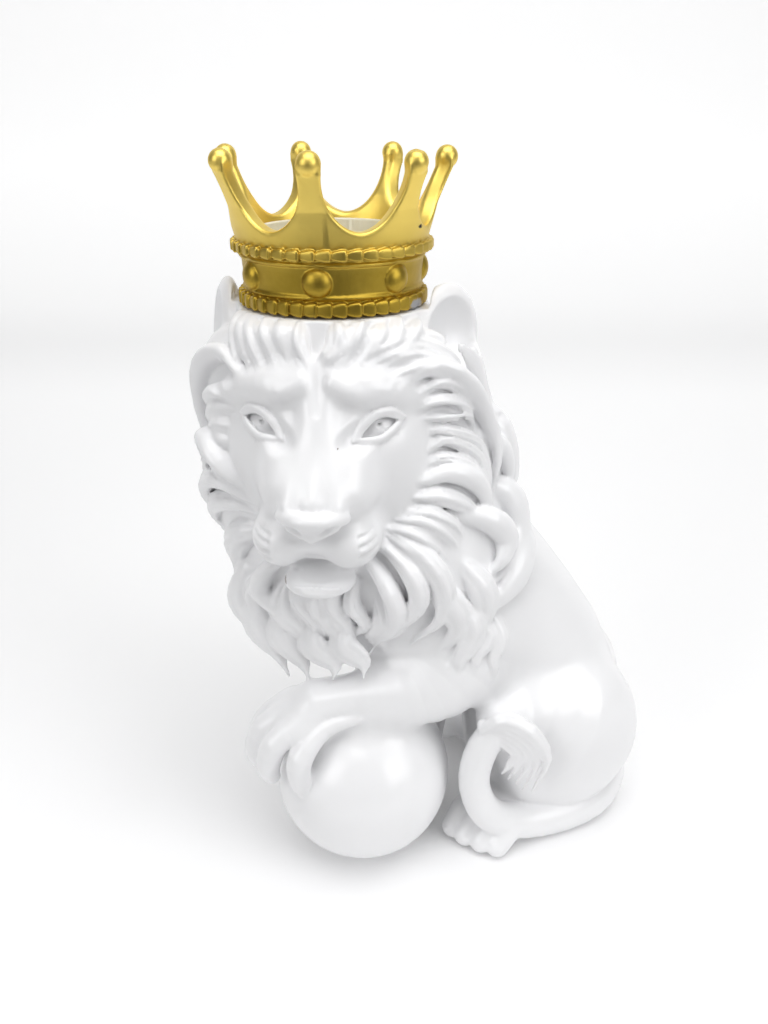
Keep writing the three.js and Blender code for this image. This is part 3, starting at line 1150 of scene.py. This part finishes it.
    def forehead(self) -> list[Fan]:
        """The hair drawn back from the hairline to the crown, with its tips on the forehead.

        Returns:
            The fans, the rearmost first.
        """
        return [
            Fan(
                [(-8, 42, 281), (-7, 48, 274), (-2, 54, 263)],
                [(-40, 26, 282), (-41, 35, 273), (-35, 43, 260)],
                6, 5.6, 5.6, 2, 2.4, 1.0,
            ),
            Fan(
                [(8, 42, 281), (7, 48, 274), (2, 54, 263)],
                [(42, 26, 281), (36, 38, 273), (24, 50, 263)],
                5, 5.6, 5.6, 2, 2.4, 1.0,
            ),
            Fan(
                [(14, 53, 266), (26, 48, 273), (40, 37, 276), (54, 26, 263), (60, 22, 250)],
                [(32, 45, 258), (43, 40, 264), (54, 33, 261), (63, 25, 248), (68, 20, 236)],
                5, 3.6, 5.0, 2, 2.6, 0.8,
            ),
            Fan([(1, 55, 264), (7, 52, 272), (17, 47, 277), (30, 38, 279)],
                width=6, depth=5, strands=2, lift=2.5),
        ]

    def beard(self) -> list[Fan]:
        """The long wavy hair under the chin and jaws, with pointed tips.

        Returns:
            The fans, the rearmost first.
        """
        return [
            Fan([(-34, 36, 168), (-46, 33, 156), (-45, 32, 140), (-34, 36, 130), (-28, 39, 120)],
                width=9, depth=7, strands=3, lift=1),
            Fan([(-20, 44, 160), (-22, 46, 146), (-14, 46, 134), (-16, 44, 122)],
                width=9, depth=7, strands=3, lift=1),
            Fan([(6, 48, 160), (2, 50, 144), (8, 48, 132), (0, 47, 120)],
                width=10, depth=7, strands=3, lift=1),
            Fan([(26, 46, 160), (30, 48, 144), (22, 48, 132), (28, 46, 120)],
                width=9, depth=7, strands=3, lift=1),
            Fan([(46, 42, 166), (58, 44, 154), (62, 46, 140), (50, 46, 124)],
                width=8, depth=6.5, strands=2, lift=2),
            Fan([(58, 40, 156), (68, 43, 143), (66, 46, 130), (56, 46, 116)],
                width=7, depth=6, strands=2, lift=2),
            Fan([(-27, 46, 166), (-38, 42, 152), (-36, 42, 138), (-26, 44, 126)],
                width=6, depth=6, strands=2, lift=2.5),
            Fan([(-19, 50, 175), (-29, 47, 167), (-33, 45, 155), (-22, 47, 144), (-13, 48, 130)],
                width=4.6, depth=7, lift=4),
            Fan(
                [(-11, 54, 168), (-14, 54, 154), (-7, 52, 140), (-10, 49, 126)],
                [(14, 54, 168), (12, 54, 154), (16, 52, 140), (8, 49, 126)],
                4, 5.0, 6.0, 2, 3.0,
            ),
            Fan([(20, 50, 178), (30, 49, 166), (34, 48, 152), (29, 48, 138), (18, 48, 122)],
                width=5, depth=7, lift=4.5),
            Fan([(26, 48, 186), (38, 46, 174), (43, 45, 160), (36, 46, 146), (28, 47, 132)],
                width=5.5, depth=6.5, strands=2, lift=4),
            Fan([(32, 46, 190), (45, 44, 178), (53, 43, 164), (52, 44, 148), (40, 45, 130)],
                width=6, depth=6.5, strands=2, lift=4),
            Fan(
                [(60, 38, 150), (68, 38, 138), (64, 42, 124), (60, 44, 112)],
                [(74, 34, 146), (80, 34, 132), (76, 36, 120), (76, 36, 106)],
                3, 5.0, 4.0, 2, 1.0, 0.8,
            ),
        ]

    def tips(self, clay: Clay) -> None:
        """The pointed tips at the beard's lower edge, which hang free of the mass.

        Args:
            clay: The clay that it is made in.
        """
        forward = np.array(self.head.at(0, 1, 0)) - np.array(self.head.at(0, 0, 0))
        for path in (
            [(-41, 34, 162), (-44, 35, 146), (-37, 37, 132), (-33, 38, 120)],
            [(-33, 38, 150), (-36, 39, 134), (-27, 40, 120), (-21, 41, 106)],
            [(-23, 41, 142), (-23, 43, 130), (-14, 44, 118), (-10, 46, 108)],
            [(-8, 44, 138), (-7, 47, 128), (3, 49, 120), (3, 52, 113)],
            [(8, 46, 138), (8, 49, 130), (17, 51, 123), (18, 53, 116)],
        ):
            line = smooth_path([self.head.at(*p) for p in path], 14)
            clay.fuse(Lock(line, np.tile(forward, (len(line), 1)), 7.5, 5.5, strands=2, groove=1.0), 2.5)

    def hollows(self) -> list[Form]:
        """The deep shadows inside the loops of hair.

        Returns:
            The forms to be carved out.
        """
        head = self.head
        return [
            head.limb([(-43, 41, 249, 1), (-49, 38, 255, 4), (-55, 33, 257, 4), (-60, 27, 251, 1.5)], 5),
            head.limb([(47, 38, 245, 1), (55, 34, 244.5, 2.4), (60, 30, 240, 1.2)], 5),
            head.limb([(42, 42, 205.5, 1), (51, 38, 201, 2.4), (57, 33, 191, 1.2)], 5),
            head.limb([(38, 44, 192, 1), (46, 40, 183, 2.4), (51, 36, 171, 1.2)], 5),
            head.limb([(74, 16, 236, 1), (77, 14, 234.5, 2), (79, 8, 233.5, 1.5)], 5),
        ]

    def build(self, clay: Clay) -> None:
        """Lays every lock, the rearmost first.

        Args:
            clay: What they are laid on.
        """
        self.bulk = clay.cast()
        jitter = np.random.default_rng(SEED)
        rear = np.arange(-160, 161, 22)
        self.tier(clay, rear, 78, 44, 14, 1.0, jitter, width=15, depth=6, strands=4, groove=1.2)
        side = np.arange(-150, 60, 17)
        self.tier(clay, side, 46, 40, 18, 1.0, jitter, width=12, depth=6, strands=4, groove=1.2)
        self.tips(clay)
        for fans in (self.outer(), self.beard(), self.combed_left(), self.right_side(), self.forehead()):
            self.lay(clay, fans, jitter)
        clay.carve(self.hollows(), 1.5)


@dataclass
class Lion:
    """The whole white casting.

    Args:
        pitch: The clay's spacing.
        faces: The most triangles that its mesh may have.
        seat: Height of the flat top of the head, under the crown.
        shoulder: Radius out to which the head is cut flat there.
        stub: Radius of the head's flat top.
        collar: Radii of the collar inside the crown: its well and its outside.
        well: Heights of the well's floor and rim.
        block: The lowest and highest corners of the block of clay.
    """

    pitch: float = 0.8
    faces: int = 195000
    seat: float = 283.7
    shoulder: float = 46.5
    stub: float = 39.5
    collar: Vector = (31.5, 33.7)
    well: Vector = (256, 316.5)
    block: tuple[Vector, Vector] = ((-82, -98, -4), (172, 76, 320))

    def build(self) -> bpy.types.Object:
        """Sculpts the casting.

        Returns:
            The lion's mesh object.
        """
        clay = Clay(*self.block, self.pitch)
        head = Head()
        body, face, mane = Body(), Face(head), Mane(head)
        body.trunk(clay)
        for side in Side:
            body.hind_leg(clay, side)
        body.far_foreleg(clay)
        body.ball(clay)
        body.near_foreleg(clay)
        body.tail(clay)
        body.tuft(clay)
        log.info("body done")
        mane.masses(clay)
        mane.hollow_for_face(clay)
        face.skull(clay)
        mane.build(clay)
        for side in Side:
            face.ear(clay, side)
        log.info("mane done")
        face.muzzle(clay)
        face.brows(clay)
        face.nose(clay)
        face.eyes(clay)
        face.lips(clay)
        bore, outside = self.collar
        floor, rim = self.well
        clay.carve(Disc(self.shoulder, self.seat, ABOVE))
        clay.fuse([Disc(self.stub, 262, self.seat), Disc(outside, 250, rim)])
        clay.carve(Disc(bore, floor, ABOVE))
        clay.field[:] = np.maximum(clay.field, -clay.axes[2])
        return clay.mesh("lion_casting", self.faces)


# ------------------------------------------------------------------------------- the crown


@dataclass
class CrownShape:
    """The crown's sizes, about its own axis.

    Args:
        turn: Where its front point is, in degrees from straight ahead, towards the lion's left.
        points: How many points it has.
        base: Height of its lower edge.
        bore: Radius of the collar that it stands over.
        band: Radius of the plain band.
        low: Height of the lower beaded ring.
        high: Height of the upper beaded ring.
        notch: Height of the bottom of the notches.
        shoulder: Height at which the points are narrowest.
        neck: Half the width of a point there.
        flare: The notches' form: 2 for an ellipse, and less for points that widen sooner.
        tip: Radius out to the middle of a knob.
        knob: Height of the knobs' middles.
        ball: Radius of a knob.
        beads: How many beads a ring has.
    """

    turn: float = -6.5
    points: int = 7
    base: float = 284.0
    bore: float = 34.0
    band: float = 39.6
    low: float = 287.6
    high: float = 309.8
    notch: float = 318.6
    shoulder: float = 341.0
    neck: float = 4.6
    flare: float = 1.8
    tip: float = 50.7
    knob: float = 344.9
    ball: float = 4.9
    beads: int = 42

    def outer(self, z: np.ndarray) -> np.ndarray:
        """The wall's outer radius at a height.

        Args:
            z: The heights.

        Returns:
            A radius for each height.
        """
        heights = [self.base, self.low + 4, self.high - 3, self.high + 3, self.notch + 8, self.shoulder]
        radii = [self.band - 0.8, self.band, self.band + 1.2, self.band + 3.2, self.band + 7, self.tip + 2.4]
        return np.interp(z, heights, radii)

    def inner(self, z: np.ndarray) -> np.ndarray:
        """The wall's inner radius at a height."""
        return np.maximum(self.bore, self.outer(z) - 7.4)

    def bearing(self, x: np.ndarray, y: np.ndarray) -> np.ndarray:
        """The angle round the axis from the front point, in radians."""
        return np.arctan2(x, -y) - math.radians(self.turn)

    def place(self, bearing: float, radius: float, height: float) -> tuple[float, float, float]:
        """A place on the crown from its bearing in radians."""
        angle = bearing + math.radians(self.turn)
        return (radius * math.sin(angle), -radius * math.cos(angle), height)


@dataclass
class Wall(Form):
    """The crown's band and points, with rounded notches between them.

    Args:
        shape: The crown's sizes.
    """

    shape: CrownShape

    def reach(self) -> tuple[np.ndarray, np.ndarray]:
        """The lowest and highest corners of the shape."""
        wide = self.shape.tip + 6
        return np.array([-wide, -wide, self.shape.base]), np.array([wide, wide, self.shape.knob])

    def distance(self, x: np.ndarray, y: np.ndarray, z: np.ndarray) -> np.ndarray:
        """The distance from the surface, negative inside.

        Args:
            x: X of the places, shaped to broadcast with the others.
            y: Y of the places.
            z: Z of the places.

        Returns:
            One distance for each place.
        """
        shape = self.shape
        radius = np.hypot(x, y)
        wall = np.maximum(radius - shape.outer(z), shape.inner(z) - radius)
        pitch = 2 * math.pi / shape.points
        off = np.abs((shape.bearing(x, y) + pitch / 2) % pitch - pitch / 2)
        half = pitch / 2 * shape.tip - shape.neck
        deep = shape.shoulder - shape.notch
        across = (pitch / 2 - off) * np.maximum(radius, 1) / half
        down = np.maximum(shape.shoulder - z, 0) / deep
        power = shape.flare
        size = np.maximum(across**power + down**power, 1e-6) ** (1 / power)
        steep = np.hypot(across ** (power - 1) / half, down ** (power - 1) / deep) * size ** (1 - power)
        notch = (size - 1) / np.maximum(steep, 0.02)
        solid = -soft_min(-wall, notch, 2.2)
        ends = np.maximum(shape.base - z, z - shape.knob)
        return -soft_min(-solid, -ends, 1.0)


@dataclass
class BeadRing(Form):
    """A raised ring pressed into beads, with scalloped edges.

    Args:
        shape: The crown's sizes.
        height: The ring's height.
        radius: The radius of its middle.
        reach_out: How far it stands out and in from there.
        half: Half its height.
    """

    shape: CrownShape
    height: float
    radius: float
    reach_out: float
    half: float

    def reach(self) -> tuple[np.ndarray, np.ndarray]:
        """The lowest and highest corners of the shape.

        Returns:
            The two corners.
        """
        wide = self.radius + self.reach_out
        low, high = self.height - self.half, self.height + self.half
        return np.array([-wide, -wide, low]), np.array([wide, wide, high])

    def distance(self, x: np.ndarray, y: np.ndarray, z: np.ndarray) -> np.ndarray:
        """The distance from the surface, negative inside.

        Args:
            x: X of the places, shaped to broadcast with the others.
            y: Y of the places.
            z: Z of the places.

        Returns:
            One distance for each place.
        """
        place = (self.shape.bearing(x, y) * self.shape.beads / (2 * math.pi)) % 1.0
        nip = np.abs(2 * place - 1) ** 9
        ramp = 1.1 * (1 - place)
        tall = self.half - 0.5 * (2 * place - 1) ** 2
        out = (np.hypot(x, y) - self.radius) / self.reach_out
        up = (z - self.height) / tall
        size = (out**6 + up**6) ** (1 / 6)
        return (size - 1) * min(self.reach_out, self.half) + 0.4 * nip + ramp


@dataclass
class Crown:
    """The whole gold casting.

    Args:
        pitch: The clay's spacing.
        faces: The most triangles that its mesh may have.
        low_ring: The lower ring's radius, how far it stands out, and half its height.
        high_ring: The same of the upper ring.
        stone: Radii of a stone.
        setting: Radii of the hollow that it sits in.
        chips: Where the lower ring's edge is broken, in degrees from straight ahead.
        shape: Its sizes.
    """

    pitch: float = 0.5
    faces: int = 160000
    low_ring: Vector = (39.6, 3.4, 3.6)
    high_ring: Vector = (42.4, 3.0, 2.8)
    stone: Vector = (6.5, 4.4, 6.5)
    setting: Vector = (7.6, 2.4, 7.6)
    chips: Vector = (-56.0, -38.0, -9.0, -4.0, 21.0, 29.0, 37.0, 47.0)
    shape: CrownShape = field(default_factory=CrownShape)

    def fillet(self, height: float, radius: float, thickness: float) -> Limb:
        """A thin raised line round the band."""
        turns = [self.shape.place(t, radius, height) for t in np.linspace(0, 2 * math.pi, 73)]
        return Limb([(*p, thickness) for p in turns], 72)

    def build(self) -> bpy.types.Object:
        """Sculpts the casting.

        Returns:
            The crown's mesh object.
        """
        shape = self.shape
        wide = shape.tip + 7
        clay = Clay((-wide, -wide, shape.base - 2), (wide, wide, shape.knob + 7), self.pitch)
        clay.fuse(Wall(shape))
        clay.fuse(BeadRing(shape, shape.low, *self.low_ring), 0.5)
        clay.fuse(BeadRing(shape, shape.high, *self.high_ring), 0.5)
        clay.fuse([self.fillet(shape.low + 4.6, 39.9, 0.8), self.fillet(shape.high - 4.2, 41.0, 0.8)], 0.8)
        for i in range(shape.points):
            bearing = 2 * math.pi * i / shape.points
            height = (shape.low + shape.high) / 2 - 0.2
            spin = (0, 0, math.degrees(bearing) + shape.turn)
            clay.carve(Egg(shape.place(bearing, shape.band + 2.6, height), self.setting, spin), 0.8)
            clay.fuse(Egg(shape.place(bearing, shape.band - 0.6, height), self.stone, spin), 0.3)
            clay.fuse(Egg(shape.place(bearing, shape.tip, shape.knob), (shape.ball,) * 3), 0.6)
        worn = shape.place(2 * math.pi / shape.points, shape.tip, shape.knob + 6.0)
        for dx, dy in ((-2, -1), (1.5, -2), (2.5, 1.5)):
            clay.carve(Egg(np.add(worn, (dx, dy, 0)), (2.6, 2.2, 2.2)), 0.6)
        for degrees in self.chips:
            chip = shape.place(math.radians(degrees) - math.radians(shape.turn), 43.5, shape.base - 0.4)
            clay.carve(Egg(chip, (2.0, 2.6, 1.7), (0, 0, degrees)), 0.3)
        clay.carve(Disc(shape.bore, shape.base - 5, 317))
        return clay.mesh("crown_casting", self.faces)


# ------------------------------------------------------------------------------- finishes


class Sockets:
    """A shader value that can be added, scaled and compared as a number can.

    Args:
        tree: The node tree that it is in.
        socket: The output that carries it.
    """

    def __init__(self, tree: bpy.types.NodeTree, socket: bpy.types.NodeSocket) -> None:
        """Keeps the tree and the output."""
        self.tree = tree
        self.socket = socket

    def math(self, operation: str, *others: "Sockets | float", flip: bool = False) -> "Sockets":
        """A Math node on this value.

        Args:
            operation: The node's operation.
            others: The other inputs.
            flip: Puts this value second.

        Returns:
            The node's result.
        """
        node = self.tree.nodes.new("ShaderNodeMath")
        node.operation = operation
        inputs = [*others, self] if flip else [self, *others]
        for target, value in zip(node.inputs, inputs):
            connect(self.tree, value, target)
        return Sockets(self.tree, node.outputs[0])

    def __add__(self, other: "Sockets | float") -> "Sockets":
        """This value with another added."""
        return self.math("ADD", other)

    __radd__ = __add__

    def __mul__(self, other: "Sockets | float") -> "Sockets":
        """This value times another."""
        return self.math("MULTIPLY", other)

    __rmul__ = __mul__

    def __sub__(self, other: "Sockets | float") -> "Sockets":
        """This value less another."""
        return self.math("SUBTRACT", other)

    def __rsub__(self, other: "Sockets | float") -> "Sockets":
        """Another value less this one."""
        return self.math("SUBTRACT", other, flip=True)

    def over(self, edge: float, soft: float) -> "Sockets":
        """Nil under an edge and 1 over it, with a soft step between.

        Args:
            edge: The middle of the step.
            soft: The step's width.

        Returns:
            The stepped value.
        """
        return ((self - (edge - soft / 2)) * (1 / soft)).clamp()

    def clamp(self) -> "Sockets":
        """The value held between 0 and 1."""
        return self.math("MAXIMUM", 0.0).math("MINIMUM", 1.0)


def connect(tree: bpy.types.NodeTree, value: object, target: bpy.types.NodeSocket) -> None:
    """Feeds a socket from a shader value, a plain number or a colour.

    Args:
        tree: The node tree.
        value: What is fed.
        target: The socket fed.
    """
    if isinstance(value, Sockets):
        tree.links.new(value.socket, target)
    elif isinstance(value, (tuple, list)):
        target.default_value = (*value, 1.0)[: len(target.default_value)]
    else:
        target.default_value = value


class Nodes:
    """Helpers that add nodes to a tree.

    Args:
        tree: The node tree.
    """

    def __init__(self, tree: bpy.types.NodeTree) -> None:
        """Keeps the tree."""
        self.tree = tree

    def node(self, kind: str, output: int | str = 0, **inputs: object) -> Sockets:
        """Adds a node of any kind.

        Args:
            kind: The node's type name.
            output: Which output is given back.
            inputs: Values for its sockets by name, and for its properties by name.

        Returns:
            The node's output.
        """
        made = self.tree.nodes.new(kind)
        for name, value in inputs.items():
            socket = name.replace("_", " ").title()
            if socket in made.inputs:
                connect(self.tree, value, made.inputs[socket])
            else:
                setattr(made, name, value)
        return Sockets(self.tree, made.outputs[output])

    def noise(self, scale: float, detail: float = 3.0, roughness: float = 0.5) -> Sockets:
        """Noise in the object's own metres."""
        place, grain = self.node("ShaderNodeTexCoord", "Object"), {"detail": detail, "roughness": roughness}
        return self.node("ShaderNodeTexNoise", 0, vector=place, scale=scale, **grain)

    def ramp(self, value: Sockets, span: Vector, ends: Vector) -> Sockets:
        """A value taken smoothly from one pair of ends to another.

        Args:
            value: What it follows.
            span: Where it starts and stops rising.
            ends: What it is before and after.

        Returns:
            The new value.
        """
        low, high = span
        share = ((value - low) * (1 / (high - low))).clamp()
        return share * (ends[1] - ends[0]) + ends[0]

    def specks(self, scale: float, edge: float, soft: float) -> Sockets:
        """Sparse small spots, 1 in a spot and nil outside it.

        Args:
            scale: How many cells of spots there are to a metre.
            edge: A spot's radius, as a share of its cell.
            soft: The width of its edge, likewise.

        Returns:
            How much of a spot shows.
        """
        place = self.node("ShaderNodeTexCoord", "Object")
        cells = self.node("ShaderNodeTexVoronoi", "Distance", vector=place, scale=scale)
        return 1 - cells.over(edge, soft)

    def vector(self, operation: str, first: Sockets, second: Vector, output: str = "Vector") -> Sockets:
        """A Vector Math node between a varying vector and a fixed one.

        Args:
            operation: The node's operation.
            first: The varying vector.
            second: The fixed one.
            output: Which output is given back.

        Returns:
            The node's output.
        """
        made = self.tree.nodes.new("ShaderNodeVectorMath")
        made.operation = operation
        self.tree.links.new(first.socket, made.inputs[0])
        made.inputs[1].default_value = tuple(float(v) for v in second)
        return Sockets(self.tree, made.outputs[output])

    def dab(self, centre: Vector, size: float) -> Sockets:
        """A ragged spot on the front, 1 inside it and nil outside.

        Args:
            centre: Its middle, in the lion's millimetres.
            size: Its radius in millimetres.

        Returns:
            How much of the spot shows.
        """
        squeeze = np.array([1.0, 0.15, 1.0])
        middle = (np.array(centre) + CROWN_AXIS) * MM * squeeze
        place = self.vector("MULTIPLY", self.node("ShaderNodeTexCoord", "Object"), squeeze)
        away = self.vector("DISTANCE", place, middle, "Value") + (self.noise(900.0, 2.0) - 0.5) * size * MM
        return 1 - away.over(size * MM, 0.4 * size * MM)

    def mix(self, factor: Sockets | float, first: object, second: object) -> Sockets:
        """Blends two colours.

        Args:
            factor: How much of the second colour shows.
            first: The first colour.
            second: The second colour.

        Returns:
            The blended colour.
        """
        made = self.tree.nodes.new("ShaderNodeMix")
        made.data_type = "RGBA"
        connect(self.tree, factor, made.inputs[0])
        connect(self.tree, first, made.inputs[6])
        connect(self.tree, second, made.inputs[7])
        return Sockets(self.tree, made.outputs[2])


class Shader(Nodes):
    """A Principled surface, with the helpers that add its nodes.

    Args:
        name: The material's name.
    """

    def __init__(self, name: str) -> None:
        """Makes the material and finds its surface."""
        self.material = bpy.data.materials.new(name)
        self.material.use_nodes = True
        super().__init__(self.material.node_tree)
        self.surface = next(n for n in self.tree.nodes if n.type == "BSDF_PRINCIPLED")

    def bump(self, height: Sockets, distance: float, strength: float) -> None:
        """Feeds the surface's normal from a height."""
        self.set(normal=self.node("ShaderNodeBump", height=height, distance=distance, strength=strength))

    def set(self, **inputs: object) -> None:
        """Sets or feeds the surface's own sockets by name."""
        for name, value in inputs.items():
            connect(self.tree, value, self.surface.inputs[name.replace("_", " ").title()])


@dataclass(frozen=True)
class GlossWhite:
    """White resin under a clear gloss, with pin holes and specks from the casting.

    Args:
        colour: The resin's own colour.
        gloss: The roughness of the surface.
        well_gold_reflection: The colour inside the well: a painted reflection of the gold crown on the white
            resin.
        stains: Brown specks on the face, each with its place on the head and its radius.
    """

    colour: tuple[float, float, float] = (0.89, 0.89, 0.9)
    gloss: float = 0.3
    well_gold_reflection: tuple[float, float, float] = (0.72, 0.68, 0.54)
    stains: Sequence[tuple[Vector, float]] = (
        ((-15.6, 66, 173), 1.2),
        ((-33.3, 60, 205.7), 0.8),
        ((9.2, 62, 235.3), 0.4),
        ((13.9, 58, 221.5), 0.35),
    )

    def material(self) -> bpy.types.Material:
        """Builds the material.

        Returns:
            The finished material.
        """
        shader = Shader("gloss_white_resin")
        cloud = shader.noise(14.0, 4.0)
        speck = shader.specks(140.0, 0.035, 0.03) * shader.noise(30.0).over(0.66, 0.02)
        tint = shader.mix(cloud, tuple(c * 0.985 for c in self.colour), self.colour)
        # Painted reflection: inside the well the white resin is tinted beige, standing in for the gold
        # crown's light reflected onto it.
        place = shader.vector("ADD", shader.node("ShaderNodeTexCoord", "Object"), -CROWN_AXIS * MM)
        out = shader.vector("LENGTH", shader.vector("MULTIPLY", place, (1, 1, 0)), (0, 0, 0), "Value")
        height = shader.node("ShaderNodeSeparateXYZ", "Z", vector=place)
        well = (1 - out.over(0.0324, 0.0006)) * height.over(0.25, 0.01)
        tint = shader.mix(well, tint, self.well_gold_reflection)
        for centre, size in self.stains:
            tint = shader.mix(shader.dab(Head().at(*centre), size) * 0.8, tint, (0.16, 0.1, 0.07))
        shader.set(
            base_color=shader.mix(speck * 0.75, tint, (0.3, 0.27, 0.24)),
            roughness=self.gloss + 0.08 * (shader.noise(60.0, 5.0) - 0.5),
        )
        shader.surface.inputs["Coat Weight"].default_value = 0.25
        shader.surface.inputs["Coat Roughness"].default_value = 0.08
        shader.bump(shader.noise(220.0, 2.0) * 0.25 + shader.noise(45.0, 2.0), 0.0004, 0.12)
        return shader.material


@dataclass(frozen=True)
class SatinGold:
    """Metallic gold paint, brushed on a little unevenly.

    Args:
        bright: The paint where it lies thin.
        deep: The paint where it lies thick.
        pale: The gold on the points, made lighter as a painted reflection of the bright light that they
            catch.
        thin: The heights between which that painted reflection comes in, in metres.
        glue: Where a patch of grey glue shows at the lower ring, in the lion's millimetres.
        speck: Where there is a black speck under a notch, likewise.
    """

    bright: tuple[float, float, float] = (0.56, 0.39, 0.06)
    deep: tuple[float, float, float] = (0.4, 0.27, 0.03)
    pale: tuple[float, float, float] = (0.92, 0.7, 0.17)
    thin: Vector = (0.302, 0.322)
    glue: Vector = (37.2, -22.0, 286.0)
    speck: Vector = (38.4, -26.0, 319.0)

    def material(self) -> bpy.types.Material:
        """Builds the material.

        Returns:
            The finished material.
        """
        shader = Shader("satin_gold_paint")
        worn = shader.noise(55.0, 5.0, 0.65)
        spot = shader.node("ShaderNodeTexCoord", "Object")
        height = shader.node("ShaderNodeSeparateXYZ", "Z", vector=spot)
        # Painted reflection: the gold is lighter over the points, above the upper ring, where they catch
        # brighter light.
        points = shader.ramp(height, self.thin, (0.0, 1.0))
        band = shader.mix(worn.over(0.5, 0.5), self.deep, self.bright)
        glue, speck = shader.dab(self.glue, 2.6), shader.dab(self.speck, 0.9)
        marked = shader.mix(speck, shader.mix(points, band, self.pale), BLACK)
        shader.set(
            base_color=shader.mix(glue, marked, GREY),
            roughness=0.34 + 0.2 * shader.noise(120.0, 4.0),
            metallic=1 - glue,
        )
        shader.bump(shader.noise(500.0, 3.0) * 0.4 + shader.noise(90.0, 3.0), 0.0005, 0.25)
        return shader.material


# ------------------------------------------------------------------------------- studio


@dataclass(frozen=True)
class Studio:
    """A pale sweep under soft light, and the camera.

    Args:
        eye: Where the camera stands, in the lion's millimetres.
        tilt: How far it looks down, in degrees.
        lens: Its focal length in millimetres on a 36 mm sensor.
        sky_lean: The direction in which the surround is brightest.
        sky: Strength of the surround at its dimmest and its brightest.
        falloff: How far in front the floor is dark, and from where it is fully lit, in metres.
        dusk: How much of the floor's brightness is left in front.
        glow: How much the floor shines under the lion, some way behind it, and where it curves up.
        bend: Where the floor starts to curve up, and the curve's radius, in metres.
        target: What the soft boxes point at, in metres.
    """

    eye: Vector = (23.0, -415.0, 365.0)
    tilt: float = 24.3
    lens: float = 31.64
    sky_lean: Vector = (-0.05, 0.5, 0.86)
    sky: Vector = (0.6, 1.9)
    falloff: Vector = (-0.55, -0.17)
    dusk: float = 0.0
    glow: Vector = (0.06, 0.3, 0.62)
    bend: Vector = (1.4, 1.2)
    target: Vector = (0, 0, 0.18)

    def camera(self) -> None:
        """Places the camera."""
        data = bpy.data.cameras.new("camera")
        data.lens = self.lens
        data.sensor_width = 36.0
        made = bpy.data.objects.new("camera", data)
        bpy.context.scene.collection.objects.link(made)
        made.location = (np.array(self.eye) + CROWN_AXIS) * MM
        made.rotation_euler = (math.radians(90 - self.tilt), 0, 0)
        bpy.context.scene.camera = made
        bpy.context.scene.view_settings.view_transform = "Standard"

    def floor(self) -> None:
        """A wide pale floor that curves up behind."""
        start, radius = self.bend
        profile = [(-4.0, 0.0), (start, 0.0)]
        for angle in np.linspace(0.1, math.pi / 2, 12):
            profile.append((start + radius * math.sin(angle), radius - radius * math.cos(angle)))
        profile.append((start + radius, 5.0))
        points = [(x, y, z) for y, z in profile for x in (-5.0, 5.0)]
        faces = [(2 * i, 2 * i + 1, 2 * i + 3, 2 * i + 2) for i in range(len(profile) - 1)]
        mesh = bpy.data.meshes.new("sweep")
        mesh.from_pydata(points, [], faces)
        mesh.shade_smooth()
        made = bpy.data.objects.new("sweep", mesh)
        bpy.context.scene.collection.objects.link(made)
        shader = Shader("sweep_paper")
        grain = shader.noise(3.0, 2.0)
        spot = shader.node("ShaderNodeTexCoord", "Object")
        depth = shader.node("ShaderNodeSeparateXYZ", "Y", vector=spot)
        near = shader.ramp(depth, self.falloff, (self.dusk, 1.0))
        under, middle, back = self.glow
        far = shader.ramp(depth, (0.0, 0.8), (under, middle))
        far = far + shader.ramp(depth, (1.1, 2.1), (0.0, back - middle))
        paper = shader.mix(grain, (0.88, 0.88, 0.885), (0.9, 0.9, 0.905))
        shader.set(base_color=shader.mix(near, (0.1, 0.1, 0.1), paper), roughness=0.7)
        shader.set(emission_color=shader.mix(near * far, (0.0, 0.0, 0.0), (1.0, 1.0, 1.0)))
        shader.surface.inputs["Emission Strength"].default_value = 1.0
        mesh.materials.append(shader.material)

    def lamp(self, name: str, place: Vector, size: Vector, power: float) -> None:
        """An oblong soft box.

        Args:
            name: Its name.
            place: Where it hangs, in metres.
            size: Its width and height in metres.
            power: Its power in watts.
        """
        data = bpy.data.lights.new(name, "AREA")
        data.shape = "RECTANGLE"
        data.size, data.size_y = size
        data.energy = power
        made = bpy.data.objects.new(name, data)
        bpy.context.scene.collection.objects.link(made)
        made.location = place
        way = np.array(self.target, float) - np.array(place, float)
        flat = math.hypot(way[0], way[1])
        dip, bearing = math.atan2(way[2], flat), math.atan2(way[1], way[0])
        made.rotation_euler = (math.pi / 2 + dip, 0, bearing - math.pi / 2)

    def surround(self) -> None:
        """A world that is bright overhead and behind, and dimmer low down in front."""
        world = bpy.data.worlds.new("surround")
        world.use_nodes = True
        nodes = Nodes(world.node_tree)
        way = nodes.node("ShaderNodeTexCoord", "Generated")
        lean = nodes.vector("DOT_PRODUCT", way, self.sky_lean, "Value")
        strength = nodes.ramp(lean, (-0.5, 0.8), self.sky)
        connect(nodes.tree, strength, nodes.tree.nodes["Background"].inputs["Strength"])
        bpy.context.scene.world = world

    def lights(self) -> None:
        """Soft boxes above and beside."""
        self.lamp("overhead", (0.1, -0.35, 1.5), (1.4, 1.2), 17.5)
        self.lamp("left_box", (-1.0, -0.9, 0.75), (0.7, 0.9), 6.0)
        self.lamp("right_box", (1.1, -0.9, 0.75), (0.9, 0.9), 8.0)

    def build(self) -> None:
        """Sets up the whole studio."""
        self.camera()
        self.floor()
        self.surround()
        self.lights()


def finish_piece(piece: bpy.types.Object, node: str, finish: bpy.types.Material) -> None:
    """Gives a piece its finish, and puts it in the place of its solid.

    Args:
        piece: The piece.
        node: The solid that it stands for.
        finish: Its material.
    """
    piece.data.materials.clear()
    piece.data.materials.append(finish)
    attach(piece, "root")
    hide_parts(node)


def main() -> None:
    """Builds the studio and both castings, and writes down how large they are."""
    logging.basicConfig(level=logging.INFO, format="%(relativeCreated)d %(message)s")
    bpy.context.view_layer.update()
    Studio().build()
    finish_piece(Lion().build(), "lion", GlossWhite().material())
    finish_piece(Crown().build(), "crown", SatinGold().material())


if __name__ == "__main__":
    main()
